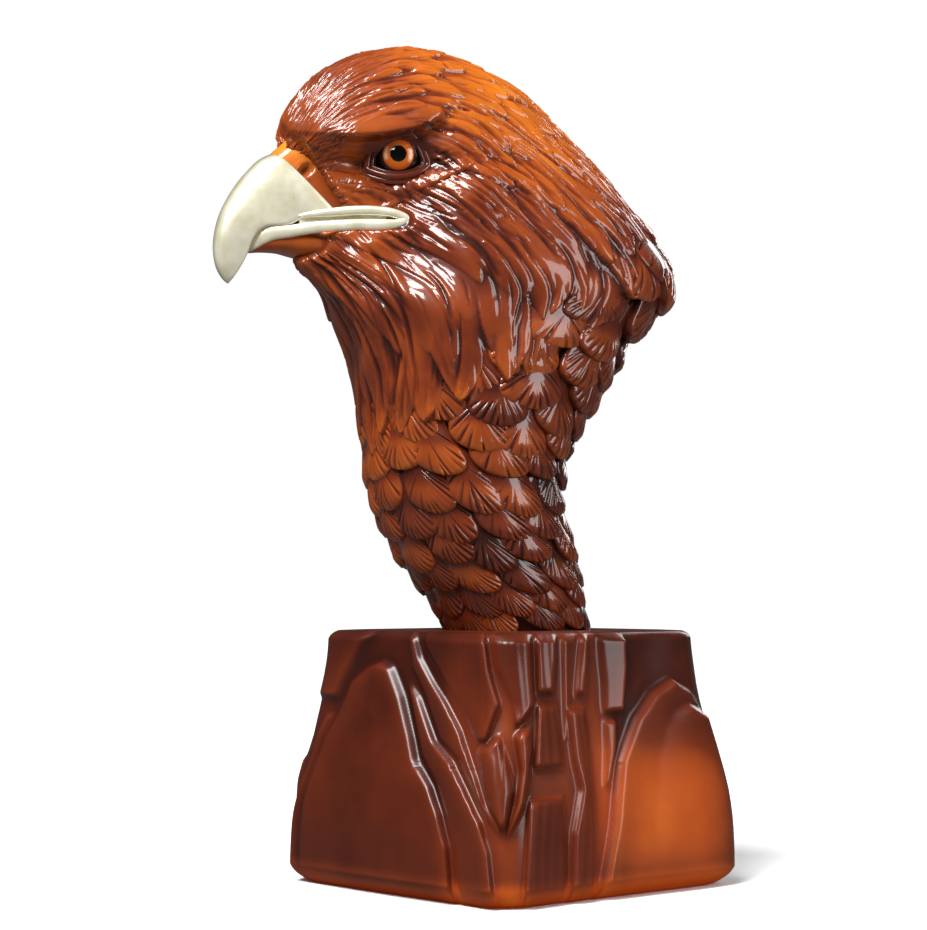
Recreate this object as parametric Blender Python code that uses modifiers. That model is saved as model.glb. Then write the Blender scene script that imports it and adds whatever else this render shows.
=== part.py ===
"""Eagle head bust: a cast resin eagle's head and neck with set-in glass eyes, on its own rock plinth.

Metres, +Z up. The origin is the middle of the plinth's underside. -Y is the front of the plinth,
and the head is turned a little to the bird's right of it.
"""

import math

import bmesh
import bpy
import numpy as np
from mathutils import Matrix, Vector

# Driving dimensions, in metres and degrees.
BUST_HEIGHT = 0.250
PLINTH_HEIGHT = 0.108
PLINTH_FOOT_WIDTH = 0.1395
PLINTH_TOP_WIDTH = 0.1175
PLINTH_CORNER_RADIUS = 0.014
PLINTH_TOP_ROUND = 0.004
PLINTH_FOOT_ROUND = 0.008
EYE_DIAMETER = 0.021
EYE_DEPTH = 0.013
EYE_PROUD = 0.0022
TOUCHING_GAP = 0.0003
HEAD_TURN = -20.0
EYE_FORWARD = 20.0

# The bust's free form is drawn in millimetres on a bust 250 mm tall, and scales with BUST_HEIGHT.
DRAWN_HEIGHT = 250.0
UNIT = BUST_HEIGHT / DRAWN_HEIGHT
# The rock's relief is drawn in millimetres too, and is carved to the same depth at any plinth size.
MM = 0.001

BUST_VOXEL = 0.0014
BUST_TRIANGLES = 6400
PLINTH_TRIANGLES = 2300
PLINTH_STEPS_ROUND = 260
PLINTH_STEPS_UP = 96
# The share of the plinth's grid that runs over its underside, and as much over its top.
PLINTH_END_SHARE = 0.06

# Cross sections of neck, mane and head, from the seat to the face. Each row gives the back or crown
# point (forward, up), the throat point (forward, up) and the half width.
BUST_SECTIONS = [
    (-32, -12, 22, -12, 30),
    (-31, 0, 25, 0, 30),
    (-27, 15, 34, 16, 33),
    (-22, 31, 46, 33, 36),
    (-17, 49, 56, 53, 39),
    (-16, 69, 61, 75, 42),
    (-22, 86, 64, 92, 45),
    (-33, 105, 67, 107, 48),
    (-46, 127, 72, 122, 50),
    (-65, 146, 81, 137, 50),
    (-62, 167, 90, 147.5, 48),
    (-48, 187, 97, 153, 44.5),
    (-33, 204, 100, 156, 41),
    (-16, 220, 101, 157.5, 37.5),
    (1, 234, 101.5, 158.5, 34.5),
    (24, 244, 102, 159, 32),
    (47, 248, 102.5, 159, 29.5),
    (68, 245.5, 103, 159.5, 26.5),
    (86, 237, 104, 160, 22.5),
    (98, 225, 104.5, 161, 17),
    (104, 213, 105, 163, 11),
    (96, 203, 97, 175, 3),
]
# How square the cross sections are: 2 is an ellipse.
BUST_FULLNESS = 2.15
BEAK_FULLNESS = 2.2
# Sections of the upper beak and its cere, from inside the head to the hook: culmen, edge, half width.
UPPER_BEAK_SECTIONS = [
    (66, 200, 62, 178, 14),
    (84, 208, 72, 172.5, 18),
    (96, 210, 84, 172.5, 16),
    (104, 206.5, 92, 171.5, 13.6),
    (111.5, 198.5, 99, 169.5, 12),
    (119.5, 190.5, 106.5, 167.5, 10.6),
    (126.5, 182, 112.5, 165, 9.4),
    (131, 173.5, 117, 161.5, 8),
    (133.3, 163.5, 119.2, 156.5, 6.6),
    (132.6, 154, 120.4, 151, 5),
    (130, 147, 122.4, 146.4, 3.2),
    (126.6, 142.6, 125.6, 142.9, 0.8),
]
# Sections of the lower mandible and chin, from inside the head to the point under the hook.
LOWER_BEAK_SECTIONS = [
    (56, 174, 62, 150, 21),
    (70, 173, 76, 152, 20),
    (84, 172, 88, 154, 16.5),
    (95, 171.5, 98, 156, 12.5),
    (104.5, 170, 105.5, 157.4, 9.6),
    (112.5, 168.5, 113, 157, 7),
    (118, 163.5, 118.8, 156.2, 3.6),
]
# Centre lines on the face as (forward, left, up), on the bird's left side.
UPPER_LIP = [
    (97, 11.5, 171),
    (89, 14.8, 173.2),
    (80, 18.2, 174.4),
    (71, 21.8, 174.2),
    (63, 25, 173.2),
    (58.5, 26.4, 171.2),
]
LOWER_LIP = [
    (58.5, 26.4, 171.2),
    (64, 24.6, 168.6),
    (73, 21.2, 168),
    (84, 17.4, 167.8),
    (95, 13.4, 166.6),
    (105, 9.8, 165),
]
LIP_RADIUS = 0.0023
# The middle of the eye's opening on the left side: forward, left and up from the bust's seat, in metres.
EYE_OPENING = (0.062, 0.027, 0.1976)
# The lids' almond opening as shares of the eye's diameter, and how far its corners lie back.
LID_WIDTH_SHARE = 1.28
LID_HEIGHT_SHARE = 0.82
LID_CORNER_SHARE = 0.15
LID_RADIUS = 0.0018

# The face narrows from the cheeks to the beak: the share of the width left at each forward place.
FACE_FORWARD = (35, 50, 60, 70, 80, 90, 97, 106)
FACE_WIDTH_LEFT = (1, 0.82, 0.7, 0.66, 0.63, 0.58, 0.56, 0.5)
# It narrows from the brow down to the jaw, at these heights.
BROW_FADE = (193, 203)
JAW_FADE = (136, 152)
# Nearer the head's middle than this, a form fades out, so the two sides meet smoothly.
MIDDLE_FADE = 14

# Forms pushed out of the face or pressed into it: a path of (forward, up), its radius and the push.
BROW = ([(97, 203), (86, 203.5), (74, 205.5), (62, 208.5), (50, 212), (40, 217)], 6.5, 4.6)
EYE_HOLLOW = ([(52, 197), (62, 197.6), (72, 197)], 9.0, -2.6)
LORES = ([(96, 190), (84, 191), (78, 193)], 6.5, -2.4)
UNDER_EYE = ([(78, 186), (64, 183.5), (50, 187.5)], 4.5, 2.2)
TEMPLE = ([(44, 196), (36, 202)], 8.0, 2.0)
CHEEK = ([(30, 185), (44, 176), (56, 168)], 11.0, 2.5)
FACE_FORMS = [BROW, EYE_HOLLOW, LORES, UNDER_EYE, TEMPLE, CHEEK]

# The plumage in the drawing's millimetres. A row's step is measured in sections along the loft.
SCALE_ROWS = 13
SCALES_IN_ROW = 14
SCALE_FIRST_TIP = 0.9
SCALE_ROW_STEP = 0.78
SCALE_LENGTH = 26
SCALE_LIFT = 3.4
SCALE_OVERLAP = 1.3
NAPE_EXTRA_LENGTH = 7
NAPE_EXTRA_LIFT = 5.0
MANE_TIERS = 3
LOCKS_IN_TIER = 24
LOCK_LENGTH = 44
LOCK_LIFT = 3.2
LOCK_TIER_STEP = 19
LOCK_OVERLAP = 1.5
HACKLE_ROWS = 6
HACKLES_IN_ROW = 22
HACKLE_FIRST_TIP = 10.0
HACKLE_ROW_STEP = 0.95
HACKLE_LENGTH = 30
# The hackles lie flatter towards the crown.
HACKLE_LIFTS = ((10, 14), (3.2, 1.4))
# How blunt each kind's tip is: 1 is a straight point and 2 is round.
SCALE_BLUNTNESS = 2.2
LOCK_BLUNTNESS = 1.5
HACKLE_BLUNTNESS = 1.6
# A feather's rim and root are sunk this far into the skin.
RIM_SINK = 1.6
ROOT_SINK = 1.2
# Where a feather reaches its full width, and how much of it is lost at the root.
WIDEST_SHARE = 0.45
ROOT_TAPER = 0.45

# The rock's slabs, unrolled: a share along the faces from the front corner, and a share of the height.
# Each has its left edge, its right edge, and how far it stands out at the left, right and middle.
LEFT_LOBE = (
    [(-0.93, 0), (-0.93, 0.33), (-0.88, 0.58), (-0.83, 0.69), (-0.79, 0.8), (-0.71, 0.86), (-0.62, 0.885)],
    [(-0.19, 0), (-0.21, 0.21), (-0.25, 0.33), (-0.3, 0.43), (-0.38, 0.52), (-0.41, 0.6), (-0.48, 0.75),
     (-0.55, 0.86), (-0.62, 0.885)],
    0.8, 3.4, 1.6,
)
SECOND_STRAND = (
    [(-0.17, 0), (-0.19, 0.21), (-0.23, 0.33), (-0.28, 0.43), (-0.36, 0.53), (-0.4, 0.62), (-0.46, 0.77),
     (-0.47, 0.81)],
    [(-0.02, 0), (-0.04, 0.21), (-0.07, 0.31), (-0.14, 0.42), (-0.21, 0.52), (-0.3, 0.59), (-0.35, 0.67),
     (-0.4, 0.75), (-0.47, 0.81)],
    0.9, 3.6, 0,
)
THIRD_STRAND = (
    [(-0.01, 0.27), (-0.05, 0.33), (-0.12, 0.43), (-0.19, 0.53), (-0.28, 0.6), (-0.33, 0.68), (-0.38, 0.76),
     (-0.46, 0.86), (-0.49, 1.05)],
    [(0, 0.27), (-0.06, 0.38), (-0.09, 0.46), (-0.13, 0.54), (-0.18, 0.64), (-0.26, 0.74), (-0.33, 0.81),
     (-0.41, 0.9), (-0.47, 1.05)],
    0.9, 3.4, 0,
)
TOP_SLAB = (
    [(-0.1, 0.6), (-0.17, 0.7), (-0.24, 0.78), (-0.31, 0.86), (-0.39, 0.94), (-0.41, 1.05)],
    [(-0.06, 0.6), (-0.01, 0.74), (-0.05, 0.87), (-0.08, 1.05)],
    1.0, 3.4, 0,
)
CORNER_SLAB = (
    [(0.03, 0.66), (0.02, 0.75), (-0.03, 0.87), (-0.06, 1.05)],
    [(0.05, 0.66), (0.12, 0.74), (0.11, 0.88), (0.1, 1.05)],
    1.0, 3.2, 0,
)
LEFT_LEAF = (
    [(0, 0.27), (-0.05, 0.37), (-0.08, 0.48), (-0.1, 0.57), (-0.01, 0.625)],
    [(0, 0.27), (0.02, 0.33), (0.04, 0.43), (0.02, 0.53), (-0.01, 0.625)],
    0.6, 0.6, 2.8,
)
RIGHT_LEAF = (
    [(0.01, 0.27), (0.035, 0.38), (0.05, 0.5), (0.03, 0.62), (0.06, 0.655)],
    [(0.02, 0.27), (0.07, 0.38), (0.09, 0.48), (0.11, 0.58), (0.1, 0.655)],
    1.0, 1.0, 3.0,
)
LOW_SLAB = (
    [(0.06, 0), (0.07, 0.2), (0.08, 0.36), (0.09, 0.4)],
    [(0.24, 0), (0.235, 0.3), (0.23, 0.44)],
    2.8, 1.2, 0,
)
MIDDLE_BLOCK = (
    [(0.1, 0.43), (0.115, 0.58), (0.13, 0.74)],
    [(0.24, 0.5), (0.235, 0.63), (0.22, 0.76)],
    3.2, 1.8, 0,
)
UPPER_BLOCK = (
    [(0.13, 0.75), (0.13, 0.9), (0.12, 1.05)],
    [(0.21, 0.77), (0.225, 0.9), (0.23, 1.05)],
    2.4, 3.4, 0,
)
AMBER_BLOCK = (
    [(0.25, 0.6), (0.255, 0.75), (0.26, 1.05)],
    [(0.27, 0.6), (0.3, 0.83), (0.34, 1.05)],
    1.4, 0.6, 0,
)
RIGHT_COLUMN = (
    [(0.25, 0), (0.26, 0.26), (0.3, 0.42), (0.28, 0.53), (0.27, 0.72)],
    [(0.35, 0), (0.36, 0.26), (0.36, 0.53), (0.35, 0.74)],
    3.2, 2.2, 0,
)
SPLIT_BLOCK = (
    [(0.31, 0.76), (0.33, 0.88), (0.36, 1.05)],
    [(0.36, 0.76), (0.385, 0.9), (0.39, 1.05)],
    2.2, 3.0, 0,
)
PROUD_BLOCK = (
    [(0.44, 0.69), (0.45, 0.81), (0.44, 1.05)],
    [(0.53, 0.68), (0.565, 0.87), (0.57, 1.05)],
    1.4, 4.4, 0,
)
HANGING_BLOCK = (
    [(0.41, 0.42), (0.43, 0.56), (0.44, 0.68)],
    [(0.43, 0.42), (0.48, 0.56), (0.5, 0.67)],
    1.2, 3.2, 0,
)
RIGHT_LOBE = (
    [(0.37, 0), (0.4, 0.14), (0.43, 0.27), (0.45, 0.38), (0.48, 0.51), (0.58, 0.67), (0.68, 0.76),
     (0.8, 0.815)],
    [(1.04, 0), (1.04, 0.38), (1.01, 0.53), (0.97, 0.66), (0.91, 0.76), (0.8, 0.815)],
    3.6, 0.2, 1.2,
)
INNER_LOBE = (
    [(0.5, 0), (0.53, 0.3), (0.6, 0.52), (0.67, 0.62), (0.75, 0.68), (0.85, 0.715)],
    [(1.05, 0), (1.05, 0.38), (1.02, 0.53), (0.98, 0.66), (0.85, 0.715)],
    2.8, 0.8, 2.4,
)
SIDE_BLOCK = (
    [(-1.04, 0.73), (-1.04, 1.05)],
    [(-0.86, 0.7), (-0.79, 0.83), (-0.75, 0.9), (-0.66, 1.05)],
    0.4, 3.0, 0,
)
SIDE_STRAND = (
    [(-1.04, 0), (-1.0, 0.26), (-0.97, 0.38), (-0.93, 0.5), (-0.92, 0.6), (-0.9, 0.67)],
    [(-0.945, 0), (-0.945, 0.33), (-0.9, 0.56), (-0.85, 0.68)],
    0.8, 2.4, 0,
)
SIDE_LEAF = (
    [(-1.1, 0.2), (-1.09, 0.4), (-1.03, 0.5)],
    [(-1.05, 0.2), (-1.0, 0.4), (-1.0, 0.5)],
    1.0, 2.6, 0,
)
FRONT_SLABS = [
    LEFT_LOBE, SECOND_STRAND, THIRD_STRAND, TOP_SLAB, CORNER_SLAB, LEFT_LEAF, RIGHT_LEAF, LOW_SLAB,
    MIDDLE_BLOCK, UPPER_BLOCK, AMBER_BLOCK, RIGHT_COLUMN, SPLIT_BLOCK, PROUD_BLOCK, HANGING_BLOCK,
    RIGHT_LOBE, INNER_LOBE, SIDE_BLOCK, SIDE_STRAND, SIDE_LEAF,
]
# The two hidden faces repeat the plainer slabs round the opposite corner.
BACK_SLABS = [
    LEFT_LOBE, SECOND_STRAND, THIRD_STRAND, CORNER_SLAB, LOW_SLAB, RIGHT_COLUMN, PROUD_BLOCK, RIGHT_LOBE,
    SIDE_STRAND,
]
SLAB_BEVEL = 1.3
# The deepest crack: its share along the faces at four heights, its depth and its half width.
CRACK_HEIGHTS = (0, 0.32, 0.71, 1)
CRACK_PLACES = (0.36, 0.385, 0.4, 0.405)
CRACK_DEPTH = 3.2
CRACK_HALF_WIDTH = 1.3
# The rock flares from its top to its foot: the share of the flare at each share of its height.
FLARE_HEIGHTS = (0, 0.2, 0.34, 0.5, 0.66, 0.8, 1)
FLARE_SHARES = (1, 1, 0.92, 0.64, 0.36, 0.14, 0)
FACES_ROUND = 4
OPPOSITE_CORNER = 2


def spline(knots, where):
    """A smooth curve through evenly spaced knots, read at any places along it."""
    knots = np.asarray(knots, float)
    last = len(knots) - 1
    where = np.clip(np.asarray(where, float), 0, last)
    start = np.clip(np.floor(where).astype(int), 0, last - 1)
    x = where - start
    if knots.ndim > 1:
        x = x[..., None]
    before, here, after, beyond = (knots[np.clip(start + k, 0, last)] for k in (-1, 0, 1, 2))
    cubic = 3 * (here - after) + beyond - before
    square = 2 * before - 5 * here + 4 * after - beyond
    return here + 0.5 * x * (after - before + x * (square + x * cubic))


def section_points(sections, along, around, fullness=2.0):
    """Points (left, back, up) of a loft. around is 0 at the crown and turns through the left side."""
    crown_f, crown_z, throat_f, throat_z, half = np.moveaxis(spline(sections, along), -1, 0)
    c, s = np.cos(around), np.sin(around)
    c = np.sign(c) * np.abs(c) ** (2 / fullness)
    s = np.sign(s) * np.abs(s) ** (2 / fullness)
    forward = (crown_f + throat_f) / 2 + (crown_f - throat_f) / 2 * c
    up = (crown_z + throat_z) / 2 + (crown_z - throat_z) / 2 * c
    return np.stack([half * s, -forward, up], axis=-1)


def distance_to_path(forward, up, path):
    """How far each point is from a path drawn on the side of the head."""
    nearest = np.full(forward.shape, 1e9)
    for (f0, z0), (f1, z1) in zip(path, path[1:]):
        length = (f1 - f0) ** 2 + (z1 - z0) ** 2
        share = np.clip(((forward - f0) * (f1 - f0) + (up - z0) * (z1 - z0)) / length, 0, 1)
        gap = np.hypot(forward - f0 - share * (f1 - f0), up - z0 - share * (z1 - z0))
        nearest = np.minimum(nearest, gap)
    return nearest


def bust_surface(along, around):
    """The bust's skin under its feathers: the loft, with the face's forms worked into both sides."""
    points = section_points(BUST_SECTIONS, along, around, BUST_FULLNESS)
    forward, up = -points[..., 1], points[..., 2]
    below_brow = np.interp(up, BROW_FADE, [1, 0]) * np.interp(up, JAW_FADE, [0, 1])
    points[..., 0] *= 1 - (1 - np.interp(forward, FACE_FORWARD, FACE_WIDTH_LEFT)) * below_brow
    side = np.clip(np.abs(points[..., 0]) / MIDDLE_FADE, 0, 1) * np.sign(points[..., 0])
    push = np.zeros(side.shape)
    for path, radius, height in FACE_FORMS:
        gap = distance_to_path(forward, up, path)
        push += height * np.exp(-((gap / radius) ** 2) * 1.4)
    points[..., 0] += side * push
    return points


def bust_normal(along, around):
    """Unit normals of the bust's skin, from two short steps on it."""
    step_along = bust_surface(along + 0.02, around) - bust_surface(along - 0.02, around)
    step_around = bust_surface(along, around + 0.01) - bust_surface(along, around - 0.01)
    normal = np.cross(step_along, step_around)
    return normal / np.maximum(np.linalg.norm(normal, axis=-1, keepdims=True), 1e-9)


def per_turn(along, around):
    """Millimetres of skin for one radian round the bust."""
    here = bust_surface(np.array([along, along]), np.array([around, around + 0.1]))
    return np.linalg.norm(here[1] - here[0]) * 10


def climb(around, start, distance):
    """The place along the loft reached by walking this far up the skin from start."""
    along = np.linspace(start, len(BUST_SECTIONS) - 2.2, 120)
    points = bust_surface(along, np.full(along.shape, around))
    walked = np.concatenate([[0], np.cumsum(np.linalg.norm(np.diff(points, axis=0), axis=1))])
    return float(np.interp(distance, walked, along))


def mane_edge(around):
    """Where the long mane feathers end over the scale feathers: high at the nape and low at the throat."""
    c = np.cos(around)
    return 7.2 + 2.35 * c + 0.65 * c * c


def scale_feathers():
    """Rows of short round feathers up the neck: where each tip lies, its length, width and lift."""
    wobble = np.random.default_rng(7)
    feathers = []
    for row in range(SCALE_ROWS):
        for place in range(SCALES_IN_ROW):
            around = (place + 0.5 * (row % 2)) * 2 * math.pi / SCALES_IN_ROW + wobble.uniform(-0.09, 0.09)
            tip = SCALE_FIRST_TIP + row * SCALE_ROW_STEP + wobble.uniform(-0.2, 0.2)
            if tip > mane_edge(around) - 0.2:
                continue
            width = SCALE_OVERLAP * per_turn(tip, around) * 2 * math.pi / SCALES_IN_ROW
            nape = max(0.0, math.cos(around)) ** 2 * np.interp(tip, [4, 7.5, 9], [0, 1, 1])
            length = SCALE_LENGTH + NAPE_EXTRA_LENGTH * nape
            lift = SCALE_LIFT + NAPE_EXTRA_LIFT * nape
            feathers.append((tip, around, length, width, lift, SCALE_BLUNTNESS))
    return feathers


def mane_locks():
    """Tiers of long locks that hang from cheek, throat and nape to the mane's zigzag edge."""
    wobble = np.random.default_rng(11)
    locks = []
    for tier in range(MANE_TIERS):
        for place in range(LOCKS_IN_TIER):
            around = (place + 0.5 * (tier % 2)) * 2 * math.pi / LOCKS_IN_TIER + wobble.uniform(-0.06, 0.06)
            low = mane_edge(around) - 0.35 + wobble.uniform(-0.3, 0.35)
            tip = climb(around, low, LOCK_TIER_STEP * tier)
            width = LOCK_OVERLAP * per_turn(tip, around) * 2 * math.pi / LOCKS_IN_TIER
            locks.append((tip, around, LOCK_LENGTH, width, LOCK_LIFT, LOCK_BLUNTNESS))
    return locks


def nape_hackles():
    """Pointed feathers that step down the back of the head."""
    wobble = np.random.default_rng(23)
    hackles = []
    for row in range(HACKLE_ROWS):
        for place in range(HACKLES_IN_ROW):
            around = (place + 0.5 * (row % 2)) * 2 * math.pi / HACKLES_IN_ROW + wobble.uniform(-0.05, 0.05)
            tip = HACKLE_FIRST_TIP + row * HACKLE_ROW_STEP + wobble.uniform(-0.12, 0.12)
            if math.cos(around) < 0.25 + 0.07 * row:
                continue
            width = LOCK_OVERLAP * per_turn(tip, around) * 2 * math.pi / HACKLES_IN_ROW
            lift = float(np.interp(tip, *HACKLE_LIFTS))
            hackles.append((tip, around, HACKLE_LENGTH, width, lift, HACKLE_BLUNTNESS))
    return hackles


def rounded_square(share, half, radius):
    """Points on a square outline with round corners. share counts faces from the corner at +X, -Y."""
    share = np.asarray(share, float)
    face = np.floor(share)
    quarter = math.pi / 4 * radius
    walk = (share - face) * (2 * quarter + 2 * (half - radius)) - quarter
    flat = 2 * (half - radius)
    turn = np.where(walk < 0, walk / radius, np.where(walk > flat, (walk - flat) / radius, 0.0))
    out = half - radius + radius * np.cos(turn)
    run = np.clip(walk, 0, flat) - (half - radius) + radius * np.sin(turn)
    angle = face * math.pi / 2
    return out * np.cos(angle) - run * np.sin(angle), out * np.sin(angle) + run * np.cos(angle)


def edge_at(edge, height):
    """A slab's edge read at a height."""
    shares, heights = np.array(edge, float).T
    return np.interp(height, heights, shares)


def slab_relief(slab, share, height, face_width):
    """How far one slab stands out of the rock, in millimetres, with a bevelled rim."""
    left_edge, right_edge, at_left, at_right, at_middle = slab
    left, right = edge_at(left_edge, height), edge_at(right_edge, height)
    low = max(left_edge[0][1], right_edge[0][1])
    high = min(left_edge[-1][1], right_edge[-1][1])
    across = (share - left) / np.maximum(right - left, 1e-6)
    inside = np.minimum(share - left, right - share) * face_width / MM
    below = (high - height) * PLINTH_HEIGHT / MM
    above = (height - low) * PLINTH_HEIGHT / MM if low > 0 else np.full(height.shape, 9.0)
    rim = np.minimum(np.minimum(inside, below), above) / SLAB_BEVEL
    out = at_left + (at_right - at_left) * across + at_middle * 4 * across * (1 - across)
    return np.where(rim > 0, out * np.clip(rim, 0, 1) ** 0.6, 0.0)


def rock_relief(share, height):
    """The whole rock's relief, in millimetres: the proudest slab at each place, and one deep crack."""
    face_width = PLINTH_FOOT_WIDTH
    relief = np.zeros(np.broadcast(share, height).shape)
    for slabs, shift in ((FRONT_SLABS, 0), (BACK_SLABS, OPPOSITE_CORNER)):
        near = (share - shift + 2) % FACES_ROUND - 2
        for slab in slabs:
            relief = np.maximum(relief, slab_relief(slab, near, height, face_width))
        crack = np.abs(near - np.interp(height, CRACK_HEIGHTS, CRACK_PLACES)) * face_width / MM
        fade = np.clip((0.95 - height) * 8, 0, 1)
        relief -= CRACK_DEPTH * np.exp(-((crack / CRACK_HALF_WIDTH) ** 2)) * fade
    return relief


def plinth_half_width(height):
    """Half the rock's width at a share of its height: a flared foot, then straight to the top."""
    flare = np.interp(height, FLARE_HEIGHTS, FLARE_SHARES)
    top = PLINTH_TOP_WIDTH / 2
    return top + (PLINTH_FOOT_WIDTH / 2 - top) * flare


def new_material(name, colour, roughness, metallic):
    material = bpy.data.materials.new(name)
    material.use_nodes = True
    shader = material.node_tree.nodes["Principled BSDF"]
    shader.inputs["Base Color"].default_value = (*colour, 1)
    shader.inputs["Roughness"].default_value = roughness
    shader.inputs["Metallic"].default_value = metallic
    return material


def new_object(name, mesh, collection, material=None):
    made = bpy.data.objects.new(name, mesh)
    collection.objects.link(made)
    if material:
        mesh.materials.append(material)
    return made


def mesh_from(bm, name):
    mesh = bpy.data.meshes.new(name)
    bm.to_mesh(mesh)
    bm.free()
    return mesh


def grid_shares(bm):
    """The two shares, 0 to 1, of every vertex of a fresh 2 by 2 grid."""
    flat = np.array([v.co[:2] for v in bm.verts])
    return flat[:, 0] / 2 + 0.5, flat[:, 1] / 2 + 0.5


def place_vertices(bm, points):
    for vertex, point in zip(bm.verts, points):
        vertex.co = point


def close_shell(bm, weld):
    """Merges the seam and the poles, closes what is still open and turns the faces outwards."""
    bmesh.ops.remove_doubles(bm, verts=bm.verts, dist=weld)
    bmesh.ops.holes_fill(bm, edges=[e for e in bm.edges if e.is_boundary], sides=0)
    bmesh.ops.recalc_face_normals(bm, faces=bm.faces)


def lofted_shell(surface, last, steps_along, steps_around):
    """A closed tube that follows a surface function of (along, around)."""
    bm = bmesh.new()
    bmesh.ops.create_grid(bm, x_segments=steps_along, y_segments=steps_around, size=1)
    along, around = grid_shares(bm)
    place_vertices(bm, surface(along * last, around * 2 * math.pi))
    close_shell(bm, 1e-4)
    return bm


def beak_surface(sections, fullness):
    def surface(along, around):
        return section_points(sections, along, around, fullness)

    return surface


def feather_shell(feather, steps_along, steps_across):
    """One closed feather: a petal that rises from its root to its tip, with its rim sunk in the skin."""
    tip, around, length, width, lift, bluntness = feather
    bm = bmesh.new()
    bmesh.ops.create_grid(bm, x_segments=steps_along, y_segments=steps_across, size=1)
    up, across = grid_shares(bm)
    across = across * 2 - 1
    along = tip + (climb(around, tip, length) - tip) * up
    tip_share = 1 - np.clip(up / WIDEST_SHARE, 0, 1)
    outline = (1 - tip_share ** bluntness) ** (1 / bluntness) * (1 - ROOT_TAPER * up ** 3)
    turn = around + across * outline * width / 2 / per_turn(tip, around)
    rim = 1 - np.abs(across) ** 4
    height = lift * ((1 - up) ** 0.8 + 0.12) * rim - RIM_SINK * (1 - rim) - ROOT_SINK * up
    height = np.where(up < 1e-6, -RIM_SINK, height)
    points = bust_surface(along, turn) + bust_normal(along, turn) * height[:, None]
    place_vertices(bm, points)
    close_shell(bm, 1e-3)
    return bm


def tube_shell(path, radius, steps_round=10, closed=False):
    """A round bead that follows a path of points, tapered at its ends unless it is closed."""
    path = [Vector(p) for p in path]
    bm = bmesh.new()
    steps = len(path) * 3
    bmesh.ops.create_grid(bm, x_segments=steps, y_segments=steps_round, size=1)
    along, around = grid_shares(bm)
    knots = np.array(path + path[:1]) if closed else np.array(path)
    middle = spline(knots, along * (len(knots) - 1))
    ahead = spline(knots, along * (len(knots) - 1) + 0.05) - spline(knots, along * (len(knots) - 1) - 0.05)
    ahead /= np.linalg.norm(ahead, axis=1, keepdims=True)
    side = np.cross(ahead, [1.0, 0, 0])
    side /= np.linalg.norm(side, axis=1, keepdims=True)
    over = np.cross(side, ahead)
    size = radius * (1 if closed else np.sqrt(np.clip(1 - (2 * along - 1) ** 8, 0, 1)))
    turn = around * 2 * math.pi
    offset = side * np.cos(turn)[:, None] + over * np.sin(turn)[:, None]
    place_vertices(bm, middle + offset * np.broadcast_to(size, turn.shape)[:, None])
    close_shell(bm, 1e-3)
    return bm


def eye_axes(side):
    """The eye's outward, forward and up directions on one side of the head, +1 for the bird's left."""
    forward = math.radians(EYE_FORWARD)
    outward = Vector((side * math.cos(forward), -math.sin(forward), 0))
    ahead = Vector((-side * math.sin(forward), -math.cos(forward), 0))
    return outward, ahead, Vector((0, 0, 1))


def eye_place(side):
    """The middle of the lids' opening on one side of the head."""
    forward, left, up = EYE_OPENING
    return Vector((side * left, -forward, up)) / UNIT


def lid_path(side, steps=14):
    """The almond rim round the eye, set back at its corners."""
    outward, ahead, up = eye_axes(side)
    eye = EYE_DIAMETER / UNIT
    points = []
    for step in range(steps):
        turn = 2 * math.pi * step / steps
        x = LID_WIDTH_SHARE * eye / 2 * math.cos(turn)
        z = LID_HEIGHT_SHARE * eye / 2 * math.sin(turn) * (1 + 0.12 * math.sin(turn))
        back = LID_CORNER_SHARE * eye * math.cos(turn) ** 2
        points.append(eye_place(side) + ahead * x + up * z - outward * back)
    return points


def mirrored(path, side):
    return [Vector((side * left, -forward, up)) for forward, left, up in path]


def bust_shapes():
    """Every closed shape that the bust's casting is modelled from, in the drawing's millimetres."""
    yield lofted_shell(bust_surface, len(BUST_SECTIONS) - 1, 84, 72)
    yield lofted_shell(beak_surface(UPPER_BEAK_SECTIONS, BEAK_FULLNESS), len(UPPER_BEAK_SECTIONS) - 1, 40, 32)
    yield lofted_shell(beak_surface(LOWER_BEAK_SECTIONS, BEAK_FULLNESS), len(LOWER_BEAK_SECTIONS) - 1, 24, 24)
    for feather in scale_feathers():
        yield feather_shell(feather, 11, 10)
    for lock in mane_locks() + nape_hackles():
        yield feather_shell(lock, 12, 8)
    for side in (1, -1):
        yield tube_shell(mirrored(UPPER_LIP, side), LIP_RADIUS / UNIT)
        yield tube_shell(mirrored(LOWER_LIP, side), LIP_RADIUS / UNIT)
        yield tube_shell(lid_path(side), LID_RADIUS / UNIT, closed=True)


def joined(shapes, name):
    whole = bmesh.new()
    for shape in shapes:
        part = mesh_from(shape, "shape")
        whole.from_mesh(part)
        bpy.data.meshes.remove(part)
    return mesh_from(whole, name)


def evaluated_mesh(made):
    graph = bpy.context.evaluated_depsgraph_get()
    mesh = bpy.data.meshes.new_from_object(made.evaluated_get(graph))
    bpy.data.objects.remove(made)
    return mesh


def keep_largest(bm):
    """Drops every loose shell but the one with the most faces."""
    left = set(bm.faces)
    largest = set()
    while left:
        shell = set()
        edge = [next(iter(left))]
        while edge:
            face = edge.pop()
            if face in shell:
                continue
            shell.add(face)
            for e in face.edges:
                edge += [f for f in e.link_faces if f not in shell]
        left -= shell
        if len(shell) > len(largest):
            largest = shell
    bmesh.ops.delete(bm, geom=[f for f in bm.faces if f not in largest], context="FACES")


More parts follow.
